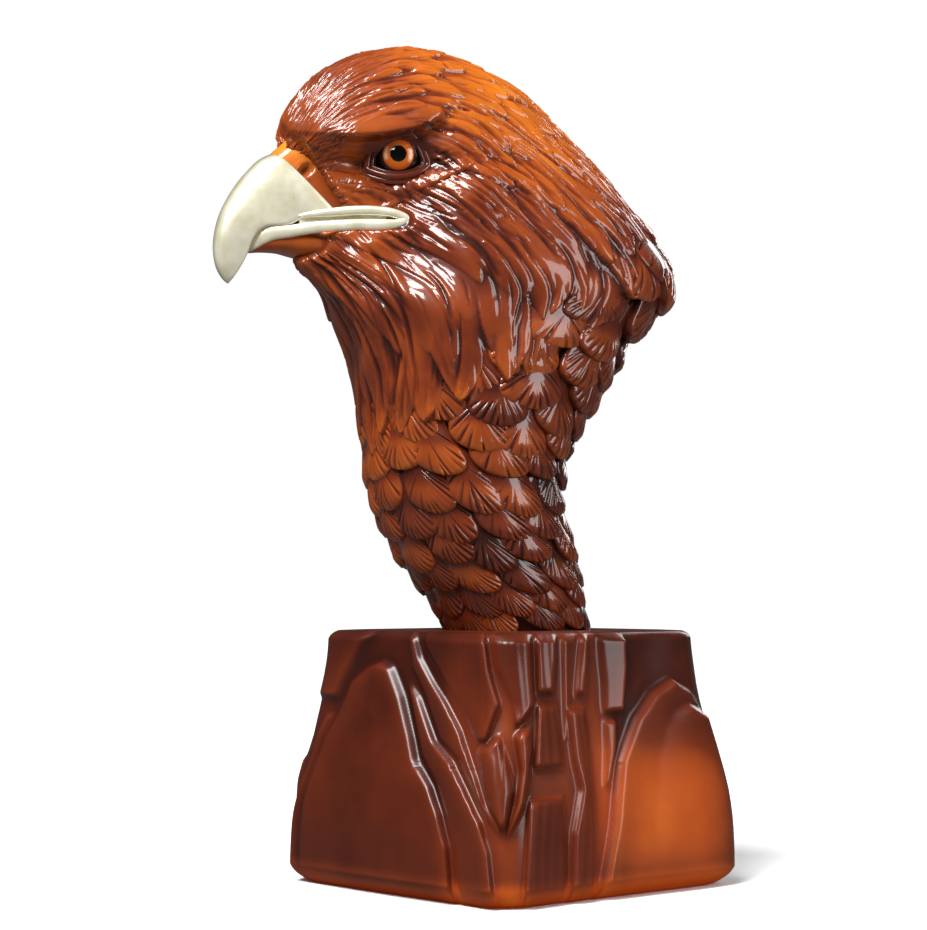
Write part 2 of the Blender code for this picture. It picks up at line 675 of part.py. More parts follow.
def reduced(mesh, name, voxel, triangles, collection):
    """One closed skin over joined shapes, brought down to a number of triangles."""
    made = new_object(name, mesh, collection)
    remesh = made.modifiers.new("skin", "REMESH")
    remesh.mode = "VOXEL"
    remesh.voxel_size = voxel
    skin = evaluated_mesh(made)
    bm = bmesh.new()
    bm.from_mesh(skin)
    keep_largest(bm)
    bmesh.ops.triangulate(bm, faces=bm.faces)
    skin = mesh_from(bm, name)
    made = new_object(name, skin, collection)
    thin = made.modifiers.new("fewer", "DECIMATE")
    thin.ratio = triangles / len(skin.polygons)
    return evaluated_mesh(made)


def cut_back(bm, point, normal, snap):
    """Cuts off what lies behind a plane and closes the cut."""
    geometry = list(bm.verts) + list(bm.edges) + list(bm.faces)
    bmesh.ops.bisect_plane(bm, geom=geometry, dist=snap, plane_co=point, plane_no=normal, clear_inner=True)
    bmesh.ops.holes_fill(bm, edges=[e for e in bm.edges if e.is_boundary], sides=0)
    bmesh.ops.recalc_face_normals(bm, faces=bm.faces)


def cut_flat(mesh, height):
    """Cuts a mesh off flat at a height."""
    bm = bmesh.new()
    bm.from_mesh(mesh)
    cut_back(bm, (0, 0, height), (0, 0, 1), 1e-5)
    return mesh_from(bm, mesh.name)


def eye_ball(radius, extra_depth=0.0):
    """A glass eye: the front of a ball, cut flat at the back, facing +X."""
    bm = bmesh.new()
    bmesh.ops.create_uvsphere(bm, u_segments=20, v_segments=12, radius=radius)
    bmesh.ops.rotate(bm, verts=bm.verts, matrix=Matrix.Rotation(math.pi / 2, 3, "Y"))
    cut_back(bm, (EYE_DIAMETER / 2 - EYE_DEPTH - extra_depth, 0, 0), (1, 0, 0), 1e-7)
    return bm


def eye_matrix(side, seat):
    """Where an eye's ball sits in the finished bust."""
    outward, ahead, up = eye_axes(side)
    turn = Matrix((outward, up.cross(outward), up)).transposed().to_4x4()
    centre = eye_place(side) * UNIT + outward * (EYE_PROUD - EYE_DIAMETER / 2)
    return seat @ Matrix.Translation(centre) @ turn


def build_plinth(collection, material):
    """The rock: a grid run over underside, flared sides and top, and pushed out by its slabs."""
    bm = bmesh.new()
    bmesh.ops.create_grid(bm, x_segments=PLINTH_STEPS_ROUND, y_segments=PLINTH_STEPS_UP, size=1)
    round_share, up_share = grid_shares(bm)
    side = np.clip((up_share - PLINTH_END_SHARE) / (1 - 2 * PLINTH_END_SHARE), 0, 1)
    inward = np.clip(1 - np.minimum(up_share, 1 - up_share) / PLINTH_END_SHARE, 0, 1)
    height = side * PLINTH_HEIGHT
    share = round_share * FACES_ROUND - 1
    down, over = height, PLINTH_HEIGHT - height
    foot_drop = PLINTH_FOOT_ROUND * (1 - np.sqrt(1 - np.clip(1 - down / PLINTH_FOOT_ROUND, 0, 1) ** 2))
    top_drop = PLINTH_TOP_ROUND * (1 - np.sqrt(1 - np.clip(1 - over / PLINTH_TOP_ROUND, 0, 1) ** 2))
    relief = rock_relief(share, side) * MM
    relief *= np.clip(over / PLINTH_TOP_ROUND, 0.35, 1) * np.clip(down / PLINTH_FOOT_ROUND, 0.3, 1)
    half = (plinth_half_width(side) - foot_drop - top_drop + relief) * (1 - inward)
    radius = np.minimum(PLINTH_CORNER_RADIUS, half * 0.5)
    x, y = rounded_square(share, half, np.maximum(radius, 1e-9))
    place_vertices(bm, np.stack([x, y, height], axis=1))
    close_shell(bm, 1e-7)
    bmesh.ops.triangulate(bm, faces=bm.faces)
    dense = mesh_from(bm, "rock_plinth")
    made = new_object("rock_plinth_dense", dense, collection)
    thin = made.modifiers.new("fewer", "DECIMATE")
    thin.ratio = PLINTH_TRIANGLES / len(dense.polygons)
    return new_object("rock_plinth", evaluated_mesh(made), collection, material)


def build():
    for old in list(bpy.data.objects):
        bpy.data.objects.remove(old)
    parts = bpy.data.collections.new("eagle_head_bust")
    cutters = bpy.data.collections.new("cutters")
    for collection in (parts, cutters):
        bpy.context.scene.collection.children.link(collection)

    amber_resin = new_material("amber_resin", (0.36, 0.09, 0.02), 0.25, 0.0)
    rock_resin = new_material("rock_resin", (0.16, 0.035, 0.015), 0.35, 0.0)
    eye_glass = new_material("eye_glass", (0.7, 0.2, 0.03), 0.05, 0.0)

    turned = Matrix.Rotation(math.radians(HEAD_TURN), 4, "Z")
    seat = Matrix.Translation((0, 0, PLINTH_HEIGHT + TOUCHING_GAP)) @ turned
    build_plinth(parts, rock_resin)

    shapes = joined(bust_shapes(), "eagle_bust")
    mesh = reduced(shapes, "bust_skin", BUST_VOXEL / UNIT, BUST_TRIANGLES, parts)
    mesh = cut_flat(mesh, 0.0)
    mesh.transform(seat @ Matrix.Diagonal((UNIT, UNIT, UNIT, 1)))
    bust = new_object("eagle_bust", mesh, parts, amber_resin)

    for side, name in ((1, "eye_left"), (-1, "eye_right")):
        ball = mesh_from(eye_ball(EYE_DIAMETER / 2), name)
        ball.transform(eye_matrix(side, seat))
        new_object(name, ball, parts, eye_glass)
        hole = mesh_from(eye_ball(EYE_DIAMETER / 2 + TOUCHING_GAP, TOUCHING_GAP), name + "_socket")
        hole.transform(eye_matrix(side, seat))
        socket = new_object(name + "_socket", hole, cutters)
        socket.hide_render = True
        socket.display_type = "WIRE"
        cut = bust.modifiers.new(name + "_socket", "BOOLEAN")
        cut.operation = "DIFFERENCE"
        cut.object = socket


build()
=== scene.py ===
# %% [markdown]
# # A lacquered eagle's head on a carved rock
# The object is an ornament about 36 cm tall: a hollow casting of an eagle's head and neck, with glass
# eyes set in, standing on a second casting that is carved as a rock. Both are stained from amber to
# mahogany and lie under a thick gloss lacquer, and the beak is painted pale gold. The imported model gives
# the true outline, and this file dresses it: each step makes one piece of the surface in fine mesh.

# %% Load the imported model
import math

import bmesh
import bpy
import numpy as np
from mathutils import Matrix, Vector


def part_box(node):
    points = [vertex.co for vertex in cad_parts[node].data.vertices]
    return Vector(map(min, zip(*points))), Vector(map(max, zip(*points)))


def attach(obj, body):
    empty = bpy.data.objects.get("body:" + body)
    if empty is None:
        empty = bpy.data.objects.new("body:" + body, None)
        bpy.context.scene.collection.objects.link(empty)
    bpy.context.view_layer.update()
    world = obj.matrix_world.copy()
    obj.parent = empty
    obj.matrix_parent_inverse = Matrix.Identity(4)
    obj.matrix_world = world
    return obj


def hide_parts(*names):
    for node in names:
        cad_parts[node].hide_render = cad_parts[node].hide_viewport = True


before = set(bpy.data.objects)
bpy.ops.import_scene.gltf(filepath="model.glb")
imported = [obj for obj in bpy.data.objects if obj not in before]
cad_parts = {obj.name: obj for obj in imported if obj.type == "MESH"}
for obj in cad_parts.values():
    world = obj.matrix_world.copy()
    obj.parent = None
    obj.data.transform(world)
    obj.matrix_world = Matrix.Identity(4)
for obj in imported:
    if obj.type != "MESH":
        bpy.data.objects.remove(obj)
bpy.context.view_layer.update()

plinth_low, plinth_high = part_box("rock_plinth")
bust_low, bust_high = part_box("eagle_bust")
print("nodes:", sorted(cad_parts))
print("plinth top at", round(plinth_high[2], 4), "and bust top at", round(bust_high[2], 4))

# %% [markdown]
# ## Where things are
# The bust is drawn in millimetres in its own frame: x to the bird's left, y backwards and z up from the
# plinth's top. One matrix then turns the head a little to its right and seats it on the rock. Keeping
# the drawing square to the head makes every mirrored feature easy to write.

# %% Driving values
MM = 0.001
HEAD_TURN = math.radians(-20.0)
TO_METRES = Matrix.Diagonal((MM, MM, MM, 1))
SEAT = Matrix.Translation((0, 0, bust_low[2])) @ Matrix.Rotation(HEAD_TURN, 4, "Z") @ TO_METRES
PLINTH_HEIGHT = (plinth_high[2] - plinth_low[2]) / MM
print("seat at", round(bust_low[2] / MM, 1), "mm, plinth", round(PLINTH_HEIGHT, 1), "mm tall")

# %% [markdown]
# ## Curves and lofts
# A loft is a skin stretched over cross sections. Here a section is the line from the crown point to the
# throat point, with a half width, and a spline runs through all sections. Working with smooth functions
# of two numbers, along and around, lets feathers be laid on the same skin that the head is made of.

# %% Splines and soft steps
def spline(knots, where):
    """A smooth curve through evenly spaced knots, read at any places along it."""
    knots = np.asarray(knots, float)
    last = len(knots) - 1
    where = np.clip(np.asarray(where, float), 0, last)
    start = np.clip(np.floor(where).astype(int), 0, last - 1)
    x = where - start
    if knots.ndim > 1:
        x = x[..., None]
    before, here, after, beyond = (knots[np.clip(start + k, 0, last)] for k in (-1, 0, 1, 2))
    cubic = 3 * (here - after) + beyond - before
    square = 2 * before - 5 * here + 4 * after - beyond
    return here + 0.5 * x * (after - before + x * (square + x * cubic))


def ramp(x, low, high):
    """A soft step from 0 to 1."""
    t = np.clip((x - low) / (high - low), 0, 1)
    return t * t * (3 - 2 * t)


def eased(x, places, values, reach):
    """A table read with its corners rounded off over a reach."""
    return sum(np.interp(x + k * reach, places, values) for k in (-1, -0.6, -0.2, 0.2, 0.6, 1)) / 6


def unit(vectors):
    """The same directions with a length of one."""
    return vectors / np.maximum(np.linalg.norm(vectors, axis=-1, keepdims=True), 1e-9)


print("half way through a soft step:", ramp(0.5, 0, 1))

# %% [markdown]
# ## The bust in sections
# From the side the bust is an S: a foot, a neck that leans back, a full cheek and a domed crown. So its
# sections fan out like the pages of a book, from the foot up the nape and over the crown to the brow.
# What a section can't say, such as the brow's roll or the hollow of the eye, is a soft push added later.

# %% Sections and the lines of the face
# Each row: crown point (forward, up), throat point (forward, up) and half width.
BUST_SECTIONS = [
    (-32, -12, 22, -12, 30),
    (-31, 0, 25, 0, 30),
    (-27, 15, 34, 16, 33),
    (-22, 31, 46, 33, 36),
    (-17, 49, 56, 53, 39),
    (-16, 69, 61, 75, 42),
    (-22, 86, 64, 92, 45),
    (-33, 105, 67, 107, 48),
    (-46, 127, 72, 122, 50),
    (-65, 146, 81, 137, 50),
    (-62, 167, 90, 147.5, 48),
    (-48, 187, 97, 153, 44.5),
    (-33, 204, 100, 156, 41),
    (-16, 220, 101, 157.5, 37.5),
    (1, 234, 101.5, 158.5, 34.5),
    (24, 244, 102, 159, 32),
    (47, 248, 102.5, 159, 29.5),
    (68, 245.5, 103, 159.5, 26.5),
    (86, 237, 104, 160, 22.5),
    (98, 225, 104.5, 161, 17),
    (104, 213, 105, 163, 11),
    (96, 203, 97, 175, 3),
]
LAST_SECTION = len(BUST_SECTIONS) - 1
SECTION_FULLNESS = 2.15
# The face narrows from the cheeks to the beak: places forward, and the share of the width kept there.
FACE_FORWARD = (35, 50, 60, 70, 80, 90, 97, 106)
FACE_WIDTH_KEPT = (1, 0.82, 0.7, 0.67, 0.665, 0.66, 0.64, 0.55)
# The brow's lower edge on the side of the head, as (forward, up).
BROW_LINE = [(102, 206), (95, 203.6), (88, 202.8), (80, 202.6), (70, 203.6), (60, 206), (50, 209.5),
             (43, 214), (36, 219), (26, 225.5)]
BROW_OUT = 4.3
BROW_UNDER = 3.0
# Other soft forms: a path of (forward, up), its radius and how far it pushes the skin out.
FACE_FORMS = [
    ([(50, 196), (62, 197.6), (76, 196)], 9.0, -2.6),
    ([(84, 193), (78, 194)], 6.5, -1.4),
    ([(74, 184), (64, 182.5), (50, 187.5)], 4.5, 1.8),
    ([(44, 196), (36, 202)], 8.0, 2.0),
    ([(30, 185), (44, 176), (56, 168)], 11.0, 2.5),
]
# Where the feathers stop and the bare cere begins, as (forward, up). The skin sinks in front of it.
FEATHER_LINE = [(81.5, 173), (82.5, 178), (87.8, 184.6), (91.0, 190.8), (99.7, 203), (103, 208)]
CERE_SINK_SHARE = 0.34
print("sections:", len(BUST_SECTIONS), "and soft forms of the face:", len(FACE_FORMS))


# %% The skin as a function of two numbers
def section_points(sections, along, around, fullness=2.0):
    """Points (left, back, up) of a lofted form. around is 0 at the crown and turns over the left side."""
    crown_f, crown_z, throat_f, throat_z, half = np.moveaxis(spline(sections, along), -1, 0)
    c, s = np.cos(around), np.sin(around)
    c = np.sign(c) * np.abs(c) ** (2 / fullness)
    s = np.sign(s) * np.abs(s) ** (2 / fullness)
    forward = (crown_f + throat_f) / 2 + (crown_f - throat_f) / 2 * c
    up = (crown_z + throat_z) / 2 + (crown_z - throat_z) / 2 * c
    return np.stack([half * s, -forward, up], axis=-1)


def distance_to_path(forward, up, path):
    """How far each point is from a path drawn on the side of the head."""
    nearest = np.full(forward.shape, 1e9)
    for (f0, z0), (f1, z1) in zip(path, path[1:]):
        length = (f1 - f0) ** 2 + (z1 - z0) ** 2
        share = np.clip(((forward - f0) * (f1 - f0) + (up - z0) * (z1 - z0)) / length, 0, 1)
        gap = np.hypot(forward - f0 - share * (f1 - f0), up - z0 - share * (z1 - z0))
        nearest = np.minimum(nearest, gap)
    return nearest


def brow_push(forward, up):
    """The brow is a roll with a sharp lower edge: out above the line, and in just below it."""
    line_f, line_z = np.array(BROW_LINE[::-1], float).T
    above = up - np.interp(forward, line_f, line_z)
    ends = ramp(forward, 30, 57) * (1 - 0.8 * ramp(forward, 80, 102))
    edge = ramp(above / (1 + 5 * (1 - ramp(forward, 26, 54))), -1.0, 1.6)
    out = BROW_OUT * edge * np.exp(-((np.maximum(above, 0) / 12) ** 2))
    under = -BROW_UNDER * (1 - edge) * np.exp(-((np.minimum(above, 0) / 8) ** 2))
    return (out + under) * ends


def skin(along, around):
    """The bust's skin under its feathers: the loft with brow, eye hollow, lores and cheek worked in."""
    points = section_points(BUST_SECTIONS, along, around, SECTION_FULLNESS)
    forward, up = -points[..., 1], points[..., 2]
    below_brow = (1 - ramp(up, 192, 204)) * ramp(up, 128, 158)
    points[..., 0] *= 1 - (1 - eased(forward, FACE_FORWARD, FACE_WIDTH_KEPT, 7)) * below_brow
    side = np.clip(np.abs(points[..., 0]) / 14, 0, 1) * np.sign(points[..., 0])
    push = brow_push(forward, up)
    for path, radius, height in FACE_FORMS:
        gap = distance_to_path(forward, up, path)
        push += height * np.exp(-((gap / radius) ** 2) * 1.4)
    points[..., 0] += side * push
    line_f, line_z = np.array(FEATHER_LINE, float).T
    past = forward - np.interp(up, line_z, line_f)
    level = ramp(up, 170.5, 174.5) * (1 - ramp(up, 205, 209))
    points[..., 0] *= 1 - CERE_SINK_SHARE * ramp(past, -0.3, 1.7) * level
    return points


def skin_normal(along, around):
    """The way the skin faces, from two short steps across it."""
    step_along = skin(along + 0.02, around) - skin(along - 0.02, around)
    step_around = skin(along, around + 0.01) - skin(along, around - 0.01)
    return unit(np.cross(step_along, step_around))


print("crown at", skin(np.array(16.0), np.array(0.0)).round(1))

# %% [markdown]
# ## Laying a feather on the skin
# A feather of the neck is a petal, drawn flat with its tip at 0 and its root up the neck, then bent over
# the skin and lifted off it. It starts as a grid. The rim is sunk below the skin and the hidden underside
# is closed, so each one is a solid blade. A grid keeps the grooves of the carving in clean rows, which a
# remesh would blur. The locks of the mane use the same petal outline later, but only as relief.

# %% Petal helpers
def grid_mesh(rows, columns):
    """A flat grid with so many rows and columns of faces, ready to be bent into a shape."""
    bm = bmesh.new()
    bmesh.ops.create_grid(bm, x_segments=rows, y_segments=columns, size=1)
    return bm


def grid_shares(bm):
    """The two shares, 0 to 1, of every vertex of a fresh grid."""
    flat = np.array([v.co[:2] for v in bm.verts])
    return flat[:, 0] / 2 + 0.5, flat[:, 1] / 2 + 0.5


def walk_table(around, start):
    """Distances walked up the skin from a start, and the places along the loft that they reach."""
    along = np.linspace(start, LAST_SECTION - 1.2, 90)
    points = skin(along, np.full(along.shape, around))
    walked = np.concatenate([[0], np.cumsum(np.linalg.norm(np.diff(points, axis=0), axis=1))])
    return walked, along


def per_turn(along, around):
    """Millimetres of skin for one radian around."""
    return np.linalg.norm(skin(along, around + 0.05) - skin(along, around - 0.05), axis=-1) / 0.1


def lay(x, y, height, tip, around):
    """Bends petal points onto the skin: x across, y up from the tip, and a height off the skin."""
    walked, places = walk_table(around, tip)
    along = np.interp(y, walked, places)
    turn = around + x / per_turn(along, np.full(along.shape, around))
    return skin(along, turn) + skin_normal(along, turn) * height[:, None]


def petal_width(y, length, width, nose, blunt, root):
    """Half a petal's width at a distance up from its tip."""
    share = np.clip(y / nose, 0, 1)
    body = (1 - (1 - share) ** blunt) ** (1 / blunt)
    return width / 2 * body * (1 - (1 - root) * np.clip(y / length, 0, 1) ** 2)


print("half a petal's width near its tip:", petal_width(2.0, 21, 20, 9.5, 2.2, 0.8).round(1), "mm")

# %% [markdown]
# ## Collecting shells
# A neck of feathers would be hundreds of objects. Instead each closed blade is added to one bmesh, with
# its stain values on the vertices, and the whole becomes a single piece of the ornament.

# %% A collector of shells
def add_object(name, data):
    """A new object of a mesh, a lamp or a camera, in the scene."""
    thing = bpy.data.objects.new(name, data)
    bpy.context.scene.collection.objects.link(thing)
    return thing


class Shells:
    """Collects closed shells with their per-vertex stain values, and makes one object of them."""

    def __init__(self):
        """An empty mesh with the two stain layers."""
        self.whole = bmesh.new()
        self.raised = self.whole.verts.layers.float.new("raised")
        self.warmth = self.whole.verts.layers.float.new("warmth")

    def add(self, bm, points, raised, warmth, weld=1e-3, close=True):
        """Bends a grid to its points, welds what meets and fills the border that is left."""
        raised_layer = bm.verts.layers.float.new("raised")
        warmth_layer = bm.verts.layers.float.new("warmth")
        for vertex, point, high, warm in zip(bm.verts, points, raised, warmth):
            vertex.co = point
            vertex[raised_layer] = high
            vertex[warmth_layer] = warm
        bmesh.ops.remove_doubles(bm, verts=bm.verts, dist=weld)
        if close:
            bmesh.ops.holes_fill(bm, edges=[e for e in bm.edges if e.is_boundary], sides=0)
        bmesh.ops.recalc_face_normals(bm, faces=bm.faces)
        part = bpy.data.meshes.new("shell")
        bm.to_mesh(part)
        bm.free()
        self.whole.from_mesh(part)
        bpy.data.meshes.remove(part)

    def finish(self, name, material, matrix=SEAT):
        """Turns the drawing's millimetres into the model's place and gives the piece its finish."""
        mesh = bpy.data.meshes.new(name)
        self.whole.to_mesh(mesh)
        self.whole.free()
        mesh.transform(matrix)
        mesh.shade_smooth()
        mesh.materials.append(material)
        mesh.calc_loop_triangles()
        print(name, "triangles", len(mesh.loop_triangles))
        return add_object(name, mesh)


def spread(count, crowding):
    """Places from -1 to 1, crowded towards both ends."""
    even = np.linspace(-1, 1, count)
    return np.sign(even) * (1 - (1 - np.abs(even)) ** crowding)


print("walk from seat to nape:", walk_table(0.0, 1.0)[0][-1].round(1), "mm")

# %% [markdown]
# ## The stain and the lacquer
# Resin ornaments of this kind are cast in a pale amber resin, stained dark, rubbed back on the high
# spots and dipped in gloss lacquer. So colour follows the carving: grooves are dark, from the stain they
# hold and from painted shade, and rims and tips are rubbed to orange. Two values on each vertex, raised
# and warmth, carry that from the mesh to the shader. One node group mixes them with a cloudy noise, and
# each material sets its own amounts.

# %% Stain group
STAIN_RAMP = [
    (0.0, (0.008, 0.0018, 0.0010)),
    (0.22, (0.048, 0.0070, 0.0030)),
    (0.42, (0.145, 0.0215, 0.0050)),
    (0.58, (0.300, 0.0560, 0.0070)),
    (0.76, (0.540, 0.1300, 0.0080)),
    (1.0, (0.820, 0.3200, 0.0280)),
]


STAIN_INPUTS = {"Warmth": 0.5, "Raised": 0.5, "Rub And Shade": 0.5, "Cloud": 0.2, "Cloud Scale": 60.0}
STAIN_OUTPUTS = {"Color": "NodeSocketColor", "Roughness": "NodeSocketFloat", "Height": "NodeSocketFloat"}


def dial(node, values):
    """Sets plain numbers and colours on a node's own sockets."""
    for name, value in values.items():
        node.inputs[name].default_value = value


def fill_ramp(colours, stops):
    """Sets the stops of a colour ramp node. It starts with two, and the others are added."""
    elements = colours.color_ramp.elements
    for index, (position, colour) in enumerate(stops):
        element = elements[index] if index < 2 else elements.new(position)
        element.position = position
        element.color = (*colour, 1)


def stain_group():
    """Warmth, raised, rub and shade, cloud and its scale in; colour, roughness and a fine height out."""
    group = bpy.data.node_groups.new("stain_and_painted_shade", "ShaderNodeTree")
    for name, value in STAIN_INPUTS.items():
        socket = group.interface.new_socket(name, in_out="INPUT", socket_type="NodeSocketFloat")
        socket.default_value = value
    for name, kind in STAIN_OUTPUTS.items():
        group.interface.new_socket(name, in_out="OUTPUT", socket_type=kind)
    nodes, links = group.nodes, group.links
    given = nodes.new("NodeGroupInput")
    put = nodes.new("NodeGroupOutput")
    place = nodes.new("ShaderNodeTexCoord")
    cloud = nodes.new("ShaderNodeTexNoise")
    dial(cloud, {"Detail": 4.0})
    links.new(place.outputs["Object"], cloud.inputs["Vector"])
    links.new(given.outputs["Cloud Scale"], cloud.inputs["Scale"])

    def sum_of(first, second, factor=None):
        """first + second, or first + second * factor."""
        scaled = factor is not None
        node = nodes.new("ShaderNodeMath")
        node.operation = "MULTIPLY_ADD" if scaled else "ADD"
        for socket, value in zip(node.inputs, (second, factor, first) if scaled else (first, second)):
            if isinstance(value, float):
                socket.default_value = value
            else:
                links.new(value, socket)
        return node.outputs[0]

    centred_high = sum_of(given.outputs["Raised"], -0.5)
    centred_cloud = sum_of(cloud.outputs["Fac"], -0.5)
    # Low raised values darken the colour: the stain kept in hollows, together with painted shade there.
    tone = sum_of(given.outputs["Warmth"], centred_high, given.outputs["Rub And Shade"])
    tone = sum_of(tone, centred_cloud, given.outputs["Cloud"])
    colours = nodes.new("ShaderNodeValToRGB")
    fill_ramp(colours, STAIN_RAMP)
    links.new(tone, colours.inputs["Fac"])
    links.new(colours.outputs["Color"], put.inputs["Color"])
    grain = nodes.new("ShaderNodeTexNoise")
    dial(grain, {"Scale": 900.0, "Detail": 2.0})
    links.new(place.outputs["Object"], grain.inputs["Vector"])
    rough = nodes.new("ShaderNodeMapRange")
    dial(rough, {"To Min": 0.28, "To Max": 0.48})
    links.new(cloud.outputs["Fac"], rough.inputs["Value"])
    links.new(rough.outputs["Result"], put.inputs["Roughness"])
    links.new(grain.outputs["Fac"], put.inputs["Height"])
    return group


STAIN = stain_group()
print("stain group sockets:", len(STAIN.interface.items_tree))


# %% Lacquered materials
def attribute_node(nodes, name):
    """The value that the mesh carries under a name."""
    node = nodes.new("ShaderNodeAttribute")
    node.attribute_name = name
    return node.outputs["Fac"]


def new_material(name):
    """A material, its nodes and links, and its shader."""
    material = bpy.data.materials.new(name)
    material.use_nodes = True
    tree = material.node_tree
    return material, tree.nodes, tree.links, tree.nodes["Principled BSDF"]


def lacquer(name, rub_and_shade, cloud, cloud_scale, coat=0.8, gloss=0.08, bump=0.05):
    """Stained resin under a clear coat. Warmth and raised come from the mesh."""
    material, nodes, links, shader = new_material(name)
    dial(shader, {"Coat Weight": coat, "Coat Roughness": gloss, "Coat IOR": 1.52})
    dial(shader, {"Specular IOR Level": 0.15})
    stain = nodes.new("ShaderNodeGroup")
    stain.node_tree = STAIN
    dial(stain, {"Rub And Shade": rub_and_shade, "Cloud": cloud, "Cloud Scale": cloud_scale})
    links.new(attribute_node(nodes, "warmth"), stain.inputs["Warmth"])
    links.new(attribute_node(nodes, "raised"), stain.inputs["Raised"])
    links.new(stain.outputs["Color"], shader.inputs["Base Color"])
    links.new(stain.outputs["Roughness"], shader.inputs["Roughness"])
    fine = nodes.new("ShaderNodeBump")
    dial(fine, {"Strength": bump, "Distance": 0.0003})
    links.new(stain.outputs["Height"], fine.inputs["Height"])
    links.new(fine.outputs["Normal"], shader.inputs["Normal"])
    return material


head_lacquer = lacquer("head_lacquer", 0.55, 0.30, 45.0)
neck_lacquer = lacquer("neck_lacquer", 0.60, 0.28, 50.0)
rock_lacquer = lacquer("rock_lacquer", 0.55, 0.22, 30.0, coat=0.4, gloss=0.24, bump=0.12)


def add_painted_glow(material, colour, strength):
    """A painted glow: the warmest stain also emits light, as if light shone through clear resin."""
    nodes, links = material.node_tree.nodes, material.node_tree.links
    colours = nodes.new("ShaderNodeValToRGB")
    fill_ramp(colours, ((0.46, (0, 0, 0)), (0.66, colour)))
    links.new(attribute_node(nodes, "warmth"), colours.inputs["Fac"])
    shader = nodes["Principled BSDF"]
    links.new(colours.outputs["Color"], shader.inputs["Emission Color"])
    shader.inputs["Emission Strength"].default_value = strength


# A painted glow: the rock's warmest stain emits red light, standing in for light that shines through the
# resin.
add_painted_glow(rock_lacquer, (0.62, 0.045, 0.001), 0.26)
print("lacquers:", head_lacquer.name, neck_lacquer.name, rock_lacquer.name)

# %% [markdown]
# ## The scale feathers of the neck
# Below the mane the neck wears overlapping round feathers. On each, the gouge strokes fan out from the
# root to the rim like the ribs of a shell. The rows of the petal's grid are swept the same way, so a
# stroke is simply one row set lower than its neighbours, and it stays crisp with few faces. The strokes'
# spacing and depth change from feather to feather, as a carver's hand would leave them.

# %% Scale feather template
SCALE_LENGTH = 21.0
SCALE_WIDTH = 20.0
SCALE_NOSE = 9.5
SCALE_BLUNTNESS = 2.2
# Where on the shaft the strokes begin, the gap between them there, and their depth.
FAN_START, FAN_END = 14.0, 20.6
FAN_PITCH = (0.95, 1.6)
FAN_DEPTH = 1.05
# How far a row is swept towards the tip for each millimetre across, at places along the shaft.
FAN_SWEEP = ((0, 14.0, 15.0, 16.0, 17.0, 18.2, 19.6, 22), (9.0, 7.0, 3.6, 2.4, 1.75, 1.35, 1.05, 0.8))
RIM_ROLL = 1.9
FEATHER_COLUMNS = 19


def fan_rows(chance):
    """For each row of the grid: its place on the shaft, how deep it is cut, its depth left and right, and
    how far below the shaft the stroke begins."""
    rows, cuts, left, right, begins = [0.0, 5.0, 10.0], [0.0] * 3, [0.0] * 3, [0.0] * 3, [0.0] * 3
    stroke = FAN_START + chance.uniform(0, 0.6)
    while stroke < FAN_END:
        pitch = chance.uniform(*FAN_PITCH)
        on_left, on_right = chance.choice([0.1, 0.6, 1.0, 1.35], 2, p=[0.15, 0.2, 0.37, 0.28])
        begin = chance.uniform(1, 9)
        for share, cut in ((0.0, 1.0), (0.22, 0.1), (0.5, -0.2), (0.78, 0.1)):
            rows.append(stroke + share * pitch)
            cuts.append(cut)
            left.append(on_left)
            right.append(on_right)
            begins.append(begin)
        stroke += pitch
    rest = list(np.linspace(stroke + 1.5, SCALE_LENGTH + SCALE_WIDTH / 2, 4))
    zeros = [0.0] * len(rest)
    lists = (rows + rest, cuts + zeros, left + zeros, right + zeros, begins + zeros)
    return [np.array(values) for values in lists]


def carved_feather(chance):
    """A feather's grid with x, y, height, raised value and what is sunk, for one throw of the dice."""
    rows, cuts, left, right, begins = fan_rows(chance)
    sweep = np.interp(rows, *FAN_SWEEP)
    across = np.linspace(0, SCALE_WIDTH / 2, 400)
    y = rows[:, None] - sweep[:, None] * across
    half = petal_width(y, SCALE_LENGTH, SCALE_WIDTH, SCALE_NOSE, SCALE_BLUNTNESS, 0.8)
    reach = (((y >= 0) & (half >= across)) * across).max(axis=1)
    bm = grid_mesh(len(rows), FEATHER_COLUMNS)
    row_share, column_share = grid_shares(bm)
    row = np.rint(row_share * (len(rows) - 1)).astype(int)
    column = np.rint(column_share * (FEATHER_COLUMNS - 1)).astype(int)
    inner = spread(FEATHER_COLUMNS - 2, 1.5)
    s = np.concatenate([inner[:1], inner, inner[-1:]])[column]
    x = s * reach[row]
    y = rows[row] - sweep[row] * np.abs(x)
    half = petal_width(y, SCALE_LENGTH, SCALE_WIDTH, SCALE_NOSE, SCALE_BLUNTNESS, 0.8)
    from_rim = np.minimum(np.maximum(half - np.abs(x), 0), np.maximum(y, 0) + 0.3) + 0.25
    bulge = 1.5 * (1 - np.clip(np.abs(x) / np.maximum(half, 0.5), 0, 1) ** 2)
    roll = RIM_ROLL * np.sqrt(np.clip(1 - (1 - np.clip(from_rim / 1.7, 0, 1)) ** 2, 0, 1))
    cut = cuts[row] * np.where(x < 0, left[row], right[row])
    free = ramp(from_rim, 0.6, 2.2) * ramp(rows[row] - y - begins[row], 0, 3)
    height = bulge + roll - FAN_DEPTH * cut * free
    # Grooves, the root under the row above and the outer rim are darker: painted shade, over the stain in
    # the grooves. The tip is rubbed lighter.
    raised = 0.55 + 0.14 * (1 - ramp(y, 0.5, 6.0)) - 0.5 * np.clip(cut, 0, 1.2) * free
    raised -= 0.3 * ramp(y, 10, 16) + 0.25 * (1 - ramp(from_rim, 0.2, 0.8))
    sunk = (column == 0) | (column == FEATHER_COLUMNS - 1) | (row == 0) | (row == len(rows) - 1)
    return bm, x, y, height, raised, sunk


